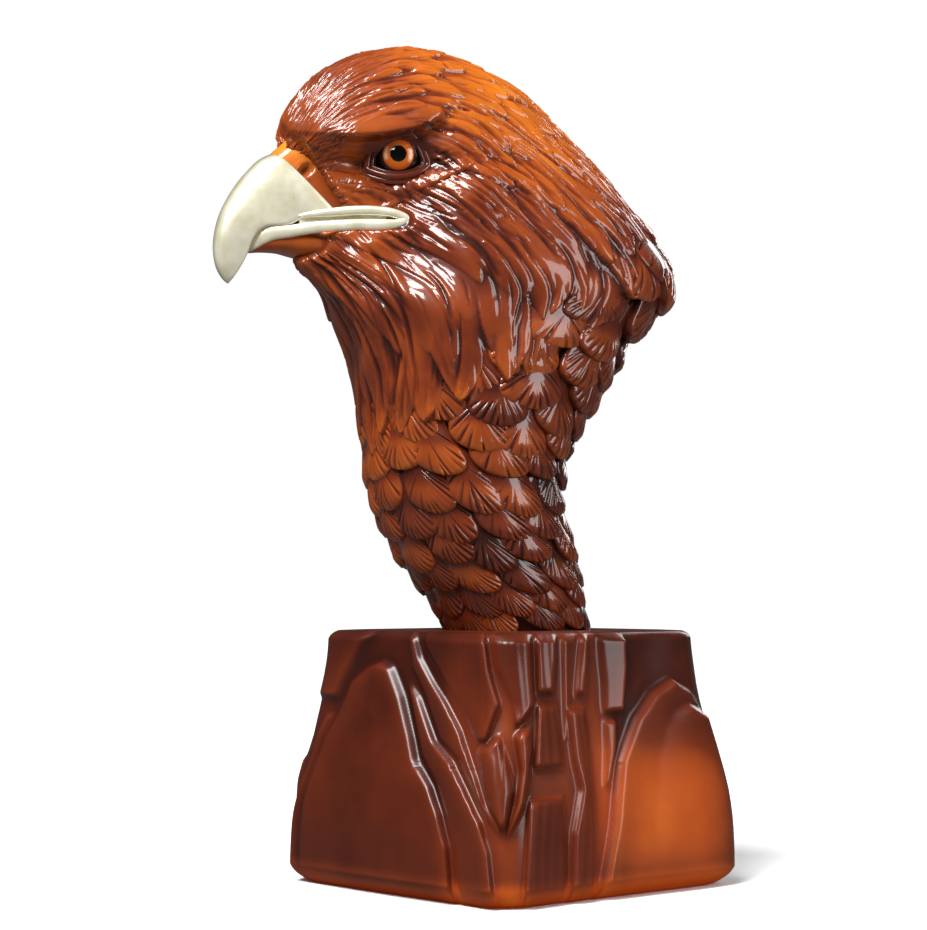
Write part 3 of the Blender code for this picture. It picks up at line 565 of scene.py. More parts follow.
print("fan rows:", len(fan_rows(np.random.default_rng(1))[0]))

# %% [markdown]
# ## Where the feathers sit
# Real contour feathers grow in quincunx: each row is shifted by half a feather, so every tip covers the
# joint of the two below it. A little seeded chance in place and turn keeps the rows from looking like
# roof tiles. The feathers also lean: their tips trail towards the nape, as the photograph shows.

# %% Feather places
SCALE_ROWS = 18
SCALES_IN_ROW = 12
SCALE_FIRST_TIP = 0.9
SCALE_ROW_STEP = 0.6
SCALE_LIFT = 3.0
SCALE_OVERLAP = 1.2
SCALES_UNDER_MANE = 0.55
LOWER_NECK_END = 4.2
NAPE_EXTRA_LENGTH = 7
NAPE_EXTRA_LIFT = 5.0


def mane_edge(around):
    """Where the long mane ends over the scale feathers: high at the nape and low at the throat."""
    c = np.cos(around)
    return 7.2 + 2.35 * c + 0.65 * c * c


def scale_feathers():
    """For each feather: tip, around, length, width, lift, and the share of its height that it keeps. It
    lies flatter near the mane and near the foot."""
    wobble = np.random.default_rng(7)
    pitch = 2 * math.pi / SCALES_IN_ROW
    feathers = []
    for row in range(SCALE_ROWS):
        for place in range(SCALES_IN_ROW):
            around = (place + 0.5 * (row % 2)) * pitch + wobble.uniform(-0.1, 0.1)
            tip = SCALE_FIRST_TIP + row * SCALE_ROW_STEP + wobble.uniform(-0.15, 0.15)
            below_mane = mane_edge(around) - tip
            if below_mane < -SCALES_UNDER_MANE:
                continue
            width = SCALE_OVERLAP * per_turn(np.array(tip), np.array(around)) * pitch
            nape = max(0.0, math.cos(around)) ** 2 * np.interp(tip, [4, 7.5, 9], [0, 1, 1])
            full = np.interp(below_mane, [-0.5, 0.2, 1.2], [0.3, 0.6, 1.0])
            full = full * np.interp(tip, [0.8, 2.6], [0.6, 1])
            length = SCALE_LENGTH + NAPE_EXTRA_LENGTH * nape
            lift = SCALE_LIFT + NAPE_EXTRA_LIFT * nape
            feathers.append((tip, around, length, float(width), lift, full))
    return feathers


def neck_warmth(tip, around):
    """The neck is darkest at its foot and at the nape, and warmer under the mane."""
    return np.interp(tip, [0, 2.5, 5, 8], [0.29, 0.38, 0.46, 0.46]) - 0.07 * math.cos(around)


def neck_pieces():
    """Lays all the feathers, shared out over two pieces."""
    chance = np.random.default_rng(3)
    shells = [Shells(), Shells()]
    for tip, around, length, width, lift, full in scale_feathers():
        bm, x, y, height, raised, sunk = carved_feather(chance)
        lean = 0.30 * math.sin(around) + chance.normal(0, 0.12)
        up = y * length / SCALE_LENGTH
        share = np.clip(up / length, 0, 1)
        curl = 0.72 + 0.28 * ramp(up, -1, 6)
        height = (height + lift * (1 - share) ** 0.85) * full * curl - 1.4 * share
        height = np.where(sunk, -1.8, height)
        side = x * width / SCALE_WIDTH * chance.uniform(0.92, 1.06) + lean * up
        points = lay(side, up, height, tip, around)
        warm = neck_warmth(tip, around) + chance.normal(0, 0.06)
        shells[0 if tip < LOWER_NECK_END else 1].add(bm, points, raised, np.full(x.shape, warm))
    names = ("lower_neck_feathers", "upper_neck_feathers")
    return [shell.finish(name, neck_lacquer) for shell, name in zip(shells, names)]


neck = neck_pieces()

# %% [markdown]
# ## The core behind the feathers
# Between real feathers one sees down, never a hole. A plain skin just below the blades does that here: it
# is the same loft without any feathers, and its dark colour is painted shade.

# %% The core
CORE_SINK = 0.9


def core_piece():
    """The plain skin under the feathers, up to where the mane covers it."""
    bm = grid_mesh(60, 90)
    up_share, round_share = grid_shares(bm)
    along, around = 9.0 * up_share, (2 * round_share - 1) * math.pi
    points = skin(along, around) - skin_normal(along, around) * CORE_SINK
    shells = Shells()
    # Low raised and warmth values make the core dark: painted shade between the feathers.
    shells.add(bm, points, np.full(len(points), 0.4), np.full(len(points), 0.24))
    return shells.finish("neck_core", neck_lacquer)


core = core_piece()

# %% [markdown]
# ## Carving the head and mane in relief
# Above the scales nothing is undercut: crown, nape and mane are one wax-like surface on which locks melt
# into each other. So here the carving is a relief, a height at every point of two fine grids laid over
# the same loft. Each lock or tongue adds its own height, and a soft maximum joins them, which rounds the
# valleys the way lacquer fills them. The gouge strokes are cut out of that last.

# %% A sheet of relief
BARE = -30.0


class Sheet:
    """A grid on the skin with its distances, on which relief is drawn. BARE means nothing is drawn yet."""

    def __init__(self, rows, columns, low, high, ease=1.0):
        """low and high are functions of around that give the first and last place along the loft."""
        share = np.linspace(0, 1, rows) ** ease
        self.low, self.high, self.ease = low(columns), high(columns), ease
        self.around = np.broadcast_to(columns, (rows, len(columns))).copy()
        self.along = self.low + share[:, None] * (self.high - self.low)
        self.points = skin(self.along, self.around)
        self.normal = skin_normal(self.along, self.around)
        gaps = np.linalg.norm(np.diff(self.points, axis=0), axis=-1)
        self.up = np.concatenate([np.zeros((1, len(columns))), np.cumsum(gaps, axis=0)])
        self.turn = np.maximum(per_turn(self.along, self.around), 2.0)
        self.height = np.full(self.along.shape, BARE)
        self.groove = np.zeros(self.along.shape)

    def up_at(self, along, columns):
        """How far up the skin a place along the loft lies, in each of some columns."""
        share = (along - self.low[columns]) / (self.high[columns] - self.low[columns])
        row = np.clip(share, 0, 1) ** (1 / self.ease) * (len(self.along) - 1)
        whole = np.clip(np.floor(row).astype(int), 0, len(self.along) - 2)
        part = row - whole
        pick = np.arange(columns.start, columns.stop)
        beyond = (share - np.clip(share, 0, 1)) * (self.up[-1, columns] - self.up[0, columns])
        return self.up[whole, pick] * (1 - part) + self.up[whole + 1, pick] * part + beyond

    def patches(self, along, around, reach, sweep, length):
        """Columns near a place with x across and y up from it, also where the sheet wraps at the throat."""
        middle = np.abs(self.around[0] - around).argmin()
        half = reach / self.turn[:, middle].min()
        for turn in (around, around - math.copysign(2 * math.pi, around)):
            first, last = np.searchsorted(self.around[0], [turn - half, turn + half])
            if last <= first:
                continue
            columns = slice(first, last)
            y = self.up[:, columns] - self.up_at(along, columns)
            x = (self.around[:, columns] - turn) * self.turn[:, columns]
            yield columns, x - sweep * y * np.abs(y) / (2 * length), y

    def find(self, forward, up):
        """The place (along, around) on the left side nearest to a point of the side view."""
        gap = np.hypot(-self.points[..., 1] - forward, self.points[..., 2] - up)
        gap = gap + 100 * (self.points[..., 0] < 0)
        row, column = np.unravel_index(gap.argmin(), gap.shape)
        return self.along[row, column], self.around[row, column]


# %% [markdown]
# ## Two marks: a petal and a stroke
# A carver adds wax for a lock and takes it away with a gouge for a stroke. Both marks are written here as
# a height over the flat patch around one place, and then blended into the sheet.

# %% Drawing on a sheet
# How softly two locks melt into each other, and how steeply a lock's rim falls.
SOFT = 0.4
RIM_DROP = 4.0


def add_petal(sheet, tip, around, length, width, lift, sweep, arch, blunt=1.6, nose=0.45, root=0.6,
              skew=0.0):
    """One lock or tongue: highest near its tip, falling to nothing at its root, with a soft steep rim."""
    reach = width / 2 + abs(sweep) * length / 2 + 2
    for columns, x, y in sheet.patches(tip, around, reach, sweep, length):
        half = petal_width(np.clip(y, 0, None), length, width, nose * length, blunt, root)
        share = np.clip(y / length, 0, 1)
        s = np.clip(x / np.maximum(half, 0.3), -1, 1)
        rim = ramp(np.minimum(half - np.abs(x), y + 0.6), -0.2, 1.2)
        body = lift * (1 - share) ** 0.8 + arch * (1 - s * s) * (1 + skew * s) * (1 - 0.5 * share)
        body = body * (1 - ramp(share, 0.45, 1.0))
        height = body * rim - RIM_DROP * (1 - rim) - 1.2 * ramp(share, 0.7, 1.0)
        drawn = (y > -2) & (y < length) & (height > 0.1 - RIM_DROP)
        part = sheet.height[:, columns]
        blended = np.logaddexp(part / SOFT, np.where(drawn, height, BARE) / SOFT) * SOFT
        sheet.height[:, columns] = np.where(drawn, blended, part)


def add_groove(sheet, middle, around, length, width, depth, sweep=0.0, slant=0.0):
    """One gouge stroke with tapered ends and a little bank thrown up beside it."""
    reach = 3 * width + abs(slant) * length / 2 + abs(sweep) * length / 8 + 0.5
    for columns, x, y in sheet.patches(middle, around, reach, sweep, length):
        gap = np.abs(x - slant * y) / width
        taper = np.clip(1 - (2 * y / length) ** 2, 0, 1) ** 0.7
        cut = depth * taper * (np.exp(-(gap ** 2)) - 0.35 * np.exp(-((gap - 1.9) ** 2)))
        part = sheet.groove[:, columns]
        sheet.groove[:, columns] = np.where(cut > 0, np.maximum(part, cut), part + 0.5 * cut)


def comb(sheet, chance, count, rows, sides, length, width, depth, slant=0.0, sweep=0.0):
    """So many strokes thrown over a region: rows is its reach along the loft and sides its reach around.
    The slant and sweep are mirrored from one side of the head to the other."""
    for _ in range(count):
        place, around = chance.uniform(*rows), chance.uniform(*sorted(sides))
        long, wide = chance.uniform(*length), chance.uniform(*width)
        deep = depth * chance.uniform(0.5, 1.2)
        leaning = chance.normal(slant * np.sign(around), 0.12)
        add_groove(sheet, place, around, long, wide, deep, sweep * math.sin(around), leaning)


print("softness and rim drop in mm:", SOFT, RIM_DROP)

# %% [markdown]
# ## The plan of the plumage
# The mane hangs in long locks from cheek, throat and nape to a zigzag edge. Short tufts behind the eye
# grow into broad tongues down the back of the head. Long shallow flutes follow the flow over all of
# them, so that the eye reads hair and not scales. The front of the head is finer: combed strokes run
# back over the crown, from the beak across the lores, and round under the eye.

# %% Locks and tongues
MANE_TIERS = 4
LOCKS_IN_TIER = 22
LOCK_LENGTH = 48
LOCK_TIER_STEP = 17
# For each tier from the edge up: the locks' width as a share of their spacing, and their height.
LOCK_WIDTHS = (1.9, 1.9, 1.6, 1.0)
LOCK_LIFTS = (3.7, 1.5, 1.1, 0.8)
# Where the tongues' tips lie along the loft, and their sizes at places between.
TONGUE_TIPS = (9.7, 16.0)
TONGUE_ROW_STEP = 0.62
TONGUE_WIDTHS = ((10.0, 12.5, 16.0), (17.0, 12.0, 7.0))
TONGUE_LIFTS = ((10.0, 11.5, 14.0), (3.0, 1.3, 0.8))
SPLIT_TONGUES = 0.35
TUFTS = 100


def draw_mane(sheet):
    """Tiers of long locks. Those of the lowest tier end at the mane's edge, the others hang over them."""
    chance = np.random.default_rng(12)
    pitch = 2 * math.pi / LOCKS_IN_TIER
    for tier in range(MANE_TIERS):
        for place in range(LOCKS_IN_TIER):
            around = (place + 0.5 * (tier % 2)) * pitch + chance.uniform(-0.07, 0.07)
            around = (around + math.pi) % (2 * math.pi) - math.pi
            walked, places = walk_table(around, mane_edge(around) - 0.4 + chance.uniform(-0.35, 0.35))
            above_edge = LOCK_TIER_STEP * tier + (chance.uniform(-8, 8) if tier else 0)
            tip = float(np.interp(above_edge, walked, places))
            width = LOCK_WIDTHS[tier] * float(per_turn(np.array(tip), np.array(around))) * pitch
            sweep = 0.55 * math.sin(around) + chance.normal(0, 0.18)
            length = LOCK_LENGTH * chance.uniform(0.75, 1.3)
            width = width * chance.uniform(0.75, 1.15)
            lift = LOCK_LIFTS[tier] * chance.uniform(0.8, 1.2)
            skew = chance.uniform(-0.8, 0.8)
            add_petal(sheet, tip, around, length, width, lift, sweep, 1.0, blunt=1.4, nose=0.6, skew=skew)


def draw_tongues(sheet):
    """Broad tongues down the back of the head, smaller towards the crown, some split by a notch."""
    chance = np.random.default_rng(23)
    for tip in np.arange(*TONGUE_TIPS, TONGUE_ROW_STEP):
        width = np.interp(tip, *TONGUE_WIDTHS)
        limit = np.interp(tip, [10, 11.5, 13, 16], [1.25, 1.45, 1.5, 1.2])
        step = width / 1.35 / float(per_turn(np.array(tip), np.array(0.7)))
        around = -limit + chance.uniform(0, step)
        while around < limit:
            place = tip + chance.uniform(-0.3, 0.3)
            lift = np.interp(place, *TONGUE_LIFTS) * chance.uniform(0.4, 1.5)
            size = chance.uniform(0.75, 1.35)
            sweep = 0.3 * math.sin(around) + chance.normal(0, 0.3)
            skew = chance.uniform(-0.8, 0.8)
            add_petal(sheet, place, around, width * 2.5 * size, width * size, lift, sweep, 0.6, skew=skew)
            if chance.uniform() < SPLIT_TONGUES:
                beside = around + chance.uniform(-0.05, 0.05)
                length, thick = chance.uniform(4, 9), chance.uniform(0.7, 1.2)
                deep = chance.uniform(0.8, 1.5)
                add_groove(sheet, place - 0.03, beside, length, thick, deep, slant=chance.normal(0, 0.5))
            around += step * chance.uniform(0.8, 1.2)


def draw_tufts(sheet, finder):
    """Small curled tufts below and behind the eye, larger further back."""
    chance = np.random.default_rng(31)
    for _ in range(TUFTS):
        forward, up = chance.uniform(22, 52), chance.uniform(176, 204)
        if abs(up - 190 + 0.35 * (forward - 36)) > 11:
            continue
        along, around = finder.find(forward, up)
        size = np.interp(forward, [22, 50], [10, 5]) * chance.uniform(0.8, 1.3)
        for side in (1, -1):
            sweep = side * chance.normal(0.3, 0.4)
            add_petal(sheet, along, side * around, size, size * 0.5, 0.9, sweep, 0.45, nose=0.5)


print("locks in the mane:", MANE_TIERS * LOCKS_IN_TIER)

# %% Strokes over the locks and the face
EYE_OPENING = (62.0, 27.0, 197.6)
BRISTLES = 230
EYE_STROKES = 260
# Combed regions: strokes, reach along, reach around, lengths, widths, depth, slant and sweep. The first
# table goes round the whole head or is thrown one side after the other, the second is the face.
ALL_ROUND = (-math.pi, math.pi)
PLUMAGE_COMBS = [
    (260, (5.0, 13.5), ALL_ROUND, (20, 50), (0.8, 1.6), 1.25, 0, 0.5),
    (300, (5.0, 13.5), ALL_ROUND, (10, 26), (0.4, 0.7), 0.5, 0, 0.5),
    (240, (12.5, 16.5), (-1.4, 1.4), (6, 16), (0.5, 0.9), 0.5, 0.15, 0),
    (200, (13.0, 17.5), (1.6, 2.7), (6, 18), (0.5, 0.9), 0.75, 0, 0),
    (200, (13.0, 17.5), (-2.7, -1.6), (6, 18), (0.5, 0.9), 0.75, 0, 0),
    (420, (15.6, 20.3), (0.0, 1.42), (8, 19), (0.6, 1.1), 0.6, 0.3, 0),
    (420, (15.6, 20.3), (-1.42, 0.0), (8, 19), (0.6, 1.1), 0.6, 0.3, 0),
]
FACE_COMBS = [
    (330, (17.0, 19.9), (1.4, 2.1), (4, 9), (0.34, 0.5), 0.8, -0.15, 0),
    (260, (15.0, 19.0), (2.0, 2.65), (3, 7), (0.35, 0.55), 0.85, -0.1, 0),
    (110, (10.8, 14.6), (1.15, 2.25), (14, 32), (0.7, 1.3), 1.2, 0, 0.5),
]


def draw_bristles(sheet, finder, chance):
    """Short bristles that slant back from below the lip."""
    for _ in range(BRISTLES):
        forward = chance.uniform(54, 90)
        along, around = finder.find(forward, 166.5 - chance.uniform(0, 7))
        for side in (1, -1):
            length, width, depth = chance.uniform(3, 6), chance.uniform(0.35, 0.5), chance.uniform(0.4, 0.9)
            slant = side * chance.normal(-1.0, 0.3)
            add_groove(sheet, along, side * around, length, width, depth, slant=slant)


def draw_eye_strokes(sheet, finder, chance):
    """Fine strokes in a crescent below and behind the eye."""
    for _ in range(EYE_STROKES):
        angle = chance.uniform(math.radians(175), math.radians(330))
        away = chance.uniform(14, 25)
        forward = EYE_OPENING[0] + away * math.cos(angle)
        up = EYE_OPENING[2] + 0.8 * away * math.sin(angle)
        along, around = finder.find(forward, up)
        side = chance.choice([-1, 1])
        length, width, depth = chance.uniform(3, 7), chance.uniform(0.35, 0.55), chance.uniform(0.35, 0.7)
        slant = side * chance.normal(0.5 * math.cos(angle), 0.25)
        add_groove(sheet, along, side * around, length, width, depth, slant=slant)


def draw_strokes(sheet, finder):
    """All strokes, always in the same order, so that the seeded chance carves the same head."""
    chance = np.random.default_rng(41)
    for strokes in PLUMAGE_COMBS:
        comb(sheet, chance, *strokes)
    for side in (1, -1):
        for count, rows, (inner, outer), *rest in FACE_COMBS:
            comb(sheet, chance, count, rows, (side * inner, side * outer), *rest)
    draw_bristles(sheet, finder, chance)
    draw_eye_strokes(sheet, finder, chance)


print("combed strokes:", sum(row[0] for row in PLUMAGE_COMBS) + 2 * sum(row[0] for row in FACE_COMBS))


# %% [markdown]
# ## From relief to mesh
# The stain is read off the relief itself: what stands above its surroundings was rubbed light, and what
# lies below is dark, from the stain it kept and from painted shade. A blur of the relief gives those
# surroundings. Broad warm and dark regions come on top, as the photograph shows an amber crown, dark
# cheeks and a brown throat.

# %% Regions, blur and finish
FOCI = [  # (forward, up, reach, warmth) of warm and dark regions on the side of the head
    (15, 236, 38, 0.20),
    (-20, 200, 30, 0.12),
    (-52, 165, 22, -0.14),
    (44, 166, 24, -0.14),
    # The next region is painted shade under the rear end of the brow.
    (50, 205, 14, -0.10),
    (10, 150, 24, -0.04),
    (70, 140, 30, -0.04),
    (92, 226, 20, -0.05),
]


def region_warmth(points):
    """The ground warmth with the broad regions added."""
    warm = np.full(points.shape[:-1], 0.54)
    for forward, up, reach, value in FOCI:
        gap = np.hypot(-points[..., 1] - forward, points[..., 2] - up) / reach
        warm += value * np.exp(-(gap ** 2))
    return warm


SHEET_WELD = 0.02


def blurred(values, size, times=3):
    """A box blur along both ways of a grid, repeated to look smooth."""
    for axis in (0, 1) * times:
        padded = np.concatenate([np.repeat(values.take([0], axis), size + 1, axis), values,
                                 np.repeat(values.take([-1], axis), size, axis)], axis)
        sums = np.cumsum(padded, axis)
        count = values.shape[axis]
        upper = sums.take(range(2 * size + 1, 2 * size + 1 + count), axis)
        values = (upper - sums.take(range(count), axis)) / (2 * size + 1)
    return values


def flow_ripple(sheet):
    """A gentle swell across the flow, which keeps smooth places from being flat."""
    bend = sheet.around * 9 + 1.3 * np.sin(sheet.along * 1.7)
    bend = bend + 0.8 * np.sin(sheet.around * 4 + sheet.along * 0.9)
    fade = ramp(np.abs(sheet.around), 0.9, 1.5) * (1 - ramp(sheet.along, 13, 15.5))
    return 0.85 * np.sin(bend) * fade


def eye_place(side):
    """The middle of the left (1) or right (-1) eye."""
    forward, left, up = EYE_OPENING
    return np.array([side * left, -forward, up])


def near_eye(points, low, high):
    """1 close to an eye, falling to 0 between two distances."""
    near = np.zeros(points.shape[:-1])
    for side in (1, -1):
        away = np.linalg.norm((points - eye_place(side)) * [1, 0.85, 1.15], axis=-1)
        near += 1 - ramp(away, low, high)
    return near


# Where the skin stays low, as (forward, up): along the lips, round their front and back under the chin.
MOUTH_LINE = [(62, 170.6), (80, 171), (100, 168.5), (112, 163), (102, 159.5), (94, 160)]
MOUTH_SINK = 1.8


def carve(sheet, finder):
    """Draws every mark on a sheet. The seeds are fixed, so two sheets carved so fit where they overlap."""
    draw_mane(sheet)
    draw_tongues(sheet)
    draw_tufts(sheet, finder)
    draw_strokes(sheet, finder)


def sheet_piece(sheet, finder, sink, name, material):
    """Carves a sheet, lets its overlap sink under its neighbour, and reads the stain and painted shade off
    the relief.
    """
    carve(sheet, finder)
    above = sheet.along - mane_edge(sheet.around)
    body = -1.8 * (1 - ramp(above, 0.5, 1.2))
    relief = np.logaddexp(sheet.height / SOFT, body / SOFT) * SOFT
    standing = np.maximum(ramp(relief, -0.6, 0.8), ramp(above, 0.8, 1.4))
    relief = relief + (flow_ripple(sheet) - sheet.groove) * standing
    relief = relief * (1 - near_eye(sheet.points, 11.5, 14))
    from_mouth = distance_to_path(-sheet.points[..., 1], sheet.points[..., 2], MOUTH_LINE)
    mouth = 1 - ramp(from_mouth, 3.2, 6.0)
    relief = relief * (1 - mouth) - MOUTH_SINK * mouth
    surroundings = blurred(np.maximum(relief, -1.5), 5)
    cavity = np.maximum(relief, -1.5) - surroundings
    # Hollows come out darker than their surroundings: painted shade along with the stain. High spots are
    # rubbed lighter.
    raised = np.clip(0.5 + 0.12 * np.maximum(cavity, 0) + 0.62 * np.minimum(cavity, 0), 0.0, 0.76)
    # Darker round each eye: painted shade in the socket under the brow.
    warm = region_warmth(sheet.points) - 0.2 * near_eye(sheet.points, 10.5, 16)
    warm = warm - 0.09 * (1 - ramp(above, 1, 5))
    points = sheet.points + sheet.normal * (relief - sink)[..., None]
    rows, columns = relief.shape
    bm = grid_mesh(rows, columns)
    row_share, column_share = grid_shares(bm)
    pick = np.rint(row_share * (rows - 1)).astype(int), np.rint(column_share * (columns - 1)).astype(int)
    shells = Shells()
    shells.add(bm, points[pick], raised[pick], warm[pick], weld=SHEET_WELD)
    return shells.finish(name, material)


print("regions of warmth:", len(FOCI))

# %% [markdown]
# ## Two sheets
# One sheet has its columns crowded over crown and cheeks, for the fine carving there. The other has even
# columns for the mane. They overlap in a narrow band round the head, and the edge of each dips a little
# under the other's surface.

# %% Carve the head, then the mane
SEAM = 13.0
SEAM_OVERLAP = 0.12
SEAM_SINK = 0.5
HEAD_ROWS = 248
HEAD_COLUMNS = 400
MANE_ROWS = 176
MANE_COLUMNS = 560
MANE_START = 1.4


def level(along):
    """A border at one place along the loft, the same all round."""
    return lambda around: np.full(around.shape, float(along))


def mane_start(around):
    """Where the mane's sheet begins, under its own zigzag edge."""
    return mane_edge(around) - MANE_START


share = np.linspace(-1, 1, HEAD_COLUMNS)
crowded = math.pi * np.sign(share) * (0.74 * np.abs(share) + 0.26 * np.abs(share) ** 7)
head_sheet = Sheet(HEAD_ROWS, crowded, level(SEAM - SEAM_OVERLAP), level(LAST_SECTION), 0.9)
head_sink = SEAM_SINK * np.clip((SEAM - head_sheet.along) / SEAM_OVERLAP, 0, 1)
head = sheet_piece(head_sheet, head_sheet, head_sink, "head", head_lacquer)
even = np.linspace(-math.pi, math.pi, MANE_COLUMNS)
mane_sheet = Sheet(MANE_ROWS, even, mane_start, level(SEAM + SEAM_OVERLAP))
mane_sink = SEAM_SINK * np.clip((mane_sheet.along - SEAM) / SEAM_OVERLAP, 0, 1)
mane_sink = mane_sink + 1.2 * (1 - ramp(mane_sheet.up, 0, 1.5))
mane = sheet_piece(mane_sheet, head_sheet, mane_sink, "mane", head_lacquer)

# %% [markdown]
# ## The lids
# The eye is a glass button set in an almond of thick glossy lids. A thin bead follows the rim of the
# glass, a fuller one lies outside it, and below and behind the eye a last roll fades into the cheek.

# %% Lids
EYE_FORWARD = math.radians(20.0)
EYE_RADIUS = 10.5
EYE_PROUD = 2.2
EYE_DEPTH = 13.0
# The almond's outline round the eye, as (ahead, up) from its middle.
ALMOND = [(13.2, -5.2), (11.9, 1.2), (8.4, 5.4), (3.6, 7.4), (-1.3, 8.3), (-5.3, 8.3), (-8.9, 5.2),
          (-11.4, 0.6), (-12.6, -3.8), (-9.0, -7.2), (-4.2, -9.0), (0.5, -9.5), (5.2, -9.0), (9.8, -7.4)]


def eye_axes(side):
    """Directions out of an eye, forward along its rim, and up."""
    outward = np.array([side * math.cos(EYE_FORWARD), -math.sin(EYE_FORWARD), 0])
    ahead = np.array([-side * math.sin(EYE_FORWARD), -math.cos(EYE_FORWARD), 0])
    return outward, ahead, np.array([0, 0, 1.0])


def ring_shell(shells, knots, radius, steps, steps_round, raised, warm):
    """A bead that follows a ring of points. The radius may change on the way, and as the bead's ends meet,
    no border is left to fill."""
    bm = grid_mesh(steps, steps_round)
    along, around = grid_shares(bm)
    closed = np.concatenate([knots[-1:], knots, knots[:2]])
    where = 1 + along * len(knots)
    middle = spline(closed, where)
    ahead = unit(spline(closed, where + 0.05) - spline(closed, where - 0.05))
    side = unit(np.cross(ahead, [1.0, 0, 0]))
    over = np.cross(side, ahead)
    size = spline(np.concatenate([radius[-1:], radius, radius[:2]]), where)
    turn = around * 2 * math.pi
    offset = side * np.cos(turn)[:, None] + over * np.sin(turn)[:, None]
    points = middle + offset * size[:, None]
    shells.add(bm, points, np.full(len(points), raised), np.full(len(points), warm), close=False)


def lid_piece():
    """Three beads round each eye, from the glass outwards."""
    shells = Shells()
    almond = np.array(ALMOND)
    lower = ramp(-almond[:, 1], -2, 6)
    rear = ramp(-almond[:, 0], -4, 8)
    for side in (1, -1):
        outward, ahead, up = eye_axes(side)

        def ring(scale, sink):
            """The almond at a scale, bent back towards its ends to follow the head."""
            flat = almond * scale
            back = 3.15 * (flat[:, :1] / 13) ** 2 + sink
            return eye_place(side) + flat[:, :1] * ahead + flat[:, 1:] * up - back * outward

        ring_shell(shells, ring(0.82, 0.3), np.full(len(almond), 0.8), 120, 14, 0.5, 0.24)
        ring_shell(shells, ring(0.98, 0.3), 1.15 + 0.35 * lower, 120, 16, 0.5, 0.32)
        ring_shell(shells, ring(1.17, 1.6), 0.5 + 0.9 * lower + 0.4 * rear, 120, 16, 0.5, 0.38)
    return shells.finish("eyelids", head_lacquer)


lids = lid_piece()

# %% [markdown]
# ## The glass eyes
# Each eye is the front of a ball. Its iris is orange, with a painted reflection, a pale crescent, on
# both sides of a black pupil, and it darkens to black at the lids. The colour is a ramp over the distance
# from the axis.

# %% Eye material and domes
IRIS_RADIUS = 6.7
PUPIL_RADIUS = 3.3
IRIS_RAMP = [
    (0.0, (0.002, 0.002, 0.002)),
    (PUPIL_RADIUS / 10, (0.002, 0.002, 0.002)),
    (PUPIL_RADIUS / 10 + 0.03, (0.50, 0.12, 0.010)),
    (0.52, (0.56, 0.10, 0.010)),
    (IRIS_RADIUS / 10 - 0.03, (0.40, 0.055, 0.008)),
    (IRIS_RADIUS / 10, (0.03, 0.006, 0.003)),
    (0.74, (0.006, 0.003, 0.002)),
]


def eye_material():
    """A painted iris and black pupil, with pale crescents of painted reflection, under a clear polished
    coat.
    """
    material, nodes, links, shader = new_material("glass_eye")
    dial(shader, {"Roughness": 0.5, "Specular IOR Level": 0.0})
    dial(shader, {"Coat Weight": 1.0, "Coat Roughness": 0.01, "Coat IOR": 1.4})
    colours = nodes.new("ShaderNodeValToRGB")
    fill_ramp(colours, IRIS_RAMP)
    links.new(attribute_node(nodes, "raised"), colours.inputs["Fac"])
    # The pale colour mixed in here is a painted reflection of the side lamps in the glass.
    reflection_paint = nodes.new("ShaderNodeMix")
    reflection_paint.data_type = "RGBA"
    reflection_paint.inputs["B"].default_value = (0.86, 0.62, 0.36, 1)
    links.new(attribute_node(nodes, "warmth"), reflection_paint.inputs["Factor"])
    links.new(colours.outputs["Color"], reflection_paint.inputs["A"])
    links.new(reflection_paint.outputs["Result"], shader.inputs["Base Color"])
    return material


def eye_piece(side, name):
    """A dome. Its raised value is the distance from the axis in centimetres; warmth marks the crescents of
    painted reflection.
    """
    bm = grid_mesh(40, 64)
    out_share, turn_share = grid_shares(bm)
    outward, ahead, up = eye_axes(side)
    back = EYE_RADIUS - EYE_DEPTH
    lean = out_share ** 0.8 * math.acos(back / EYE_RADIUS)
    turn = turn_share * 2 * math.pi
    radial = EYE_RADIUS * np.sin(lean)
    centre = eye_place(side) + outward * (EYE_PROUD - EYE_RADIUS)
    depth = EYE_RADIUS * np.cos(lean)
    points = (centre + depth[:, None] * outward + (radial * np.cos(turn))[:, None] * ahead
              + (radial * np.sin(turn))[:, None] * up)
    # The pale crescents beside the pupil are painted reflections of the side lamps in the glass.
    sideways = np.abs(np.cos(turn - 0.1))
    painted_reflection = ramp(sideways, 0.80, 0.95) * ramp(radial, 4.3, 5.0) * (1 - ramp(radial, 5.6, 6.4))
    painted_reflection = painted_reflection * (lean < 1.2)
    shells = Shells()
    shells.add(bm, points, radial / 10 + 0.3 * (lean > 1.4), 0.65 * painted_reflection)
    return shells.finish(name, glass_eye)


glass_eye = eye_material()
eyes = [eye_piece(1, "eye_left_glass"), eye_piece(-1, "eye_right_glass")]

# %% [markdown]
# ## The beak
# The hooked beak is painted pale gold. Its base is a smooth amber swelling, the cere, with the nostril.
# The gold starts along a slanting line and runs back over both lips to the corner of the mouth. The
# upper beak is a loft whose section is an upturned U with a sharp lower edge. One spline through its
# sections gives both the ridge and the hook.

# %% Beak section and sections along it
# Half of the section, from the ridge to the palate: (share of half width, share of height).
BEAK_HALF = [(0, 0), (0.30, 0.025), (0.54, 0.10), (0.71, 0.25), (0.82, 0.42), (0.90, 0.60), (0.965, 0.76),
             (1.0, 0.88), (1.0, 0.955), (0.93, 1.0), (0.72, 0.955), (0.4, 0.91), (0, 0.9)]
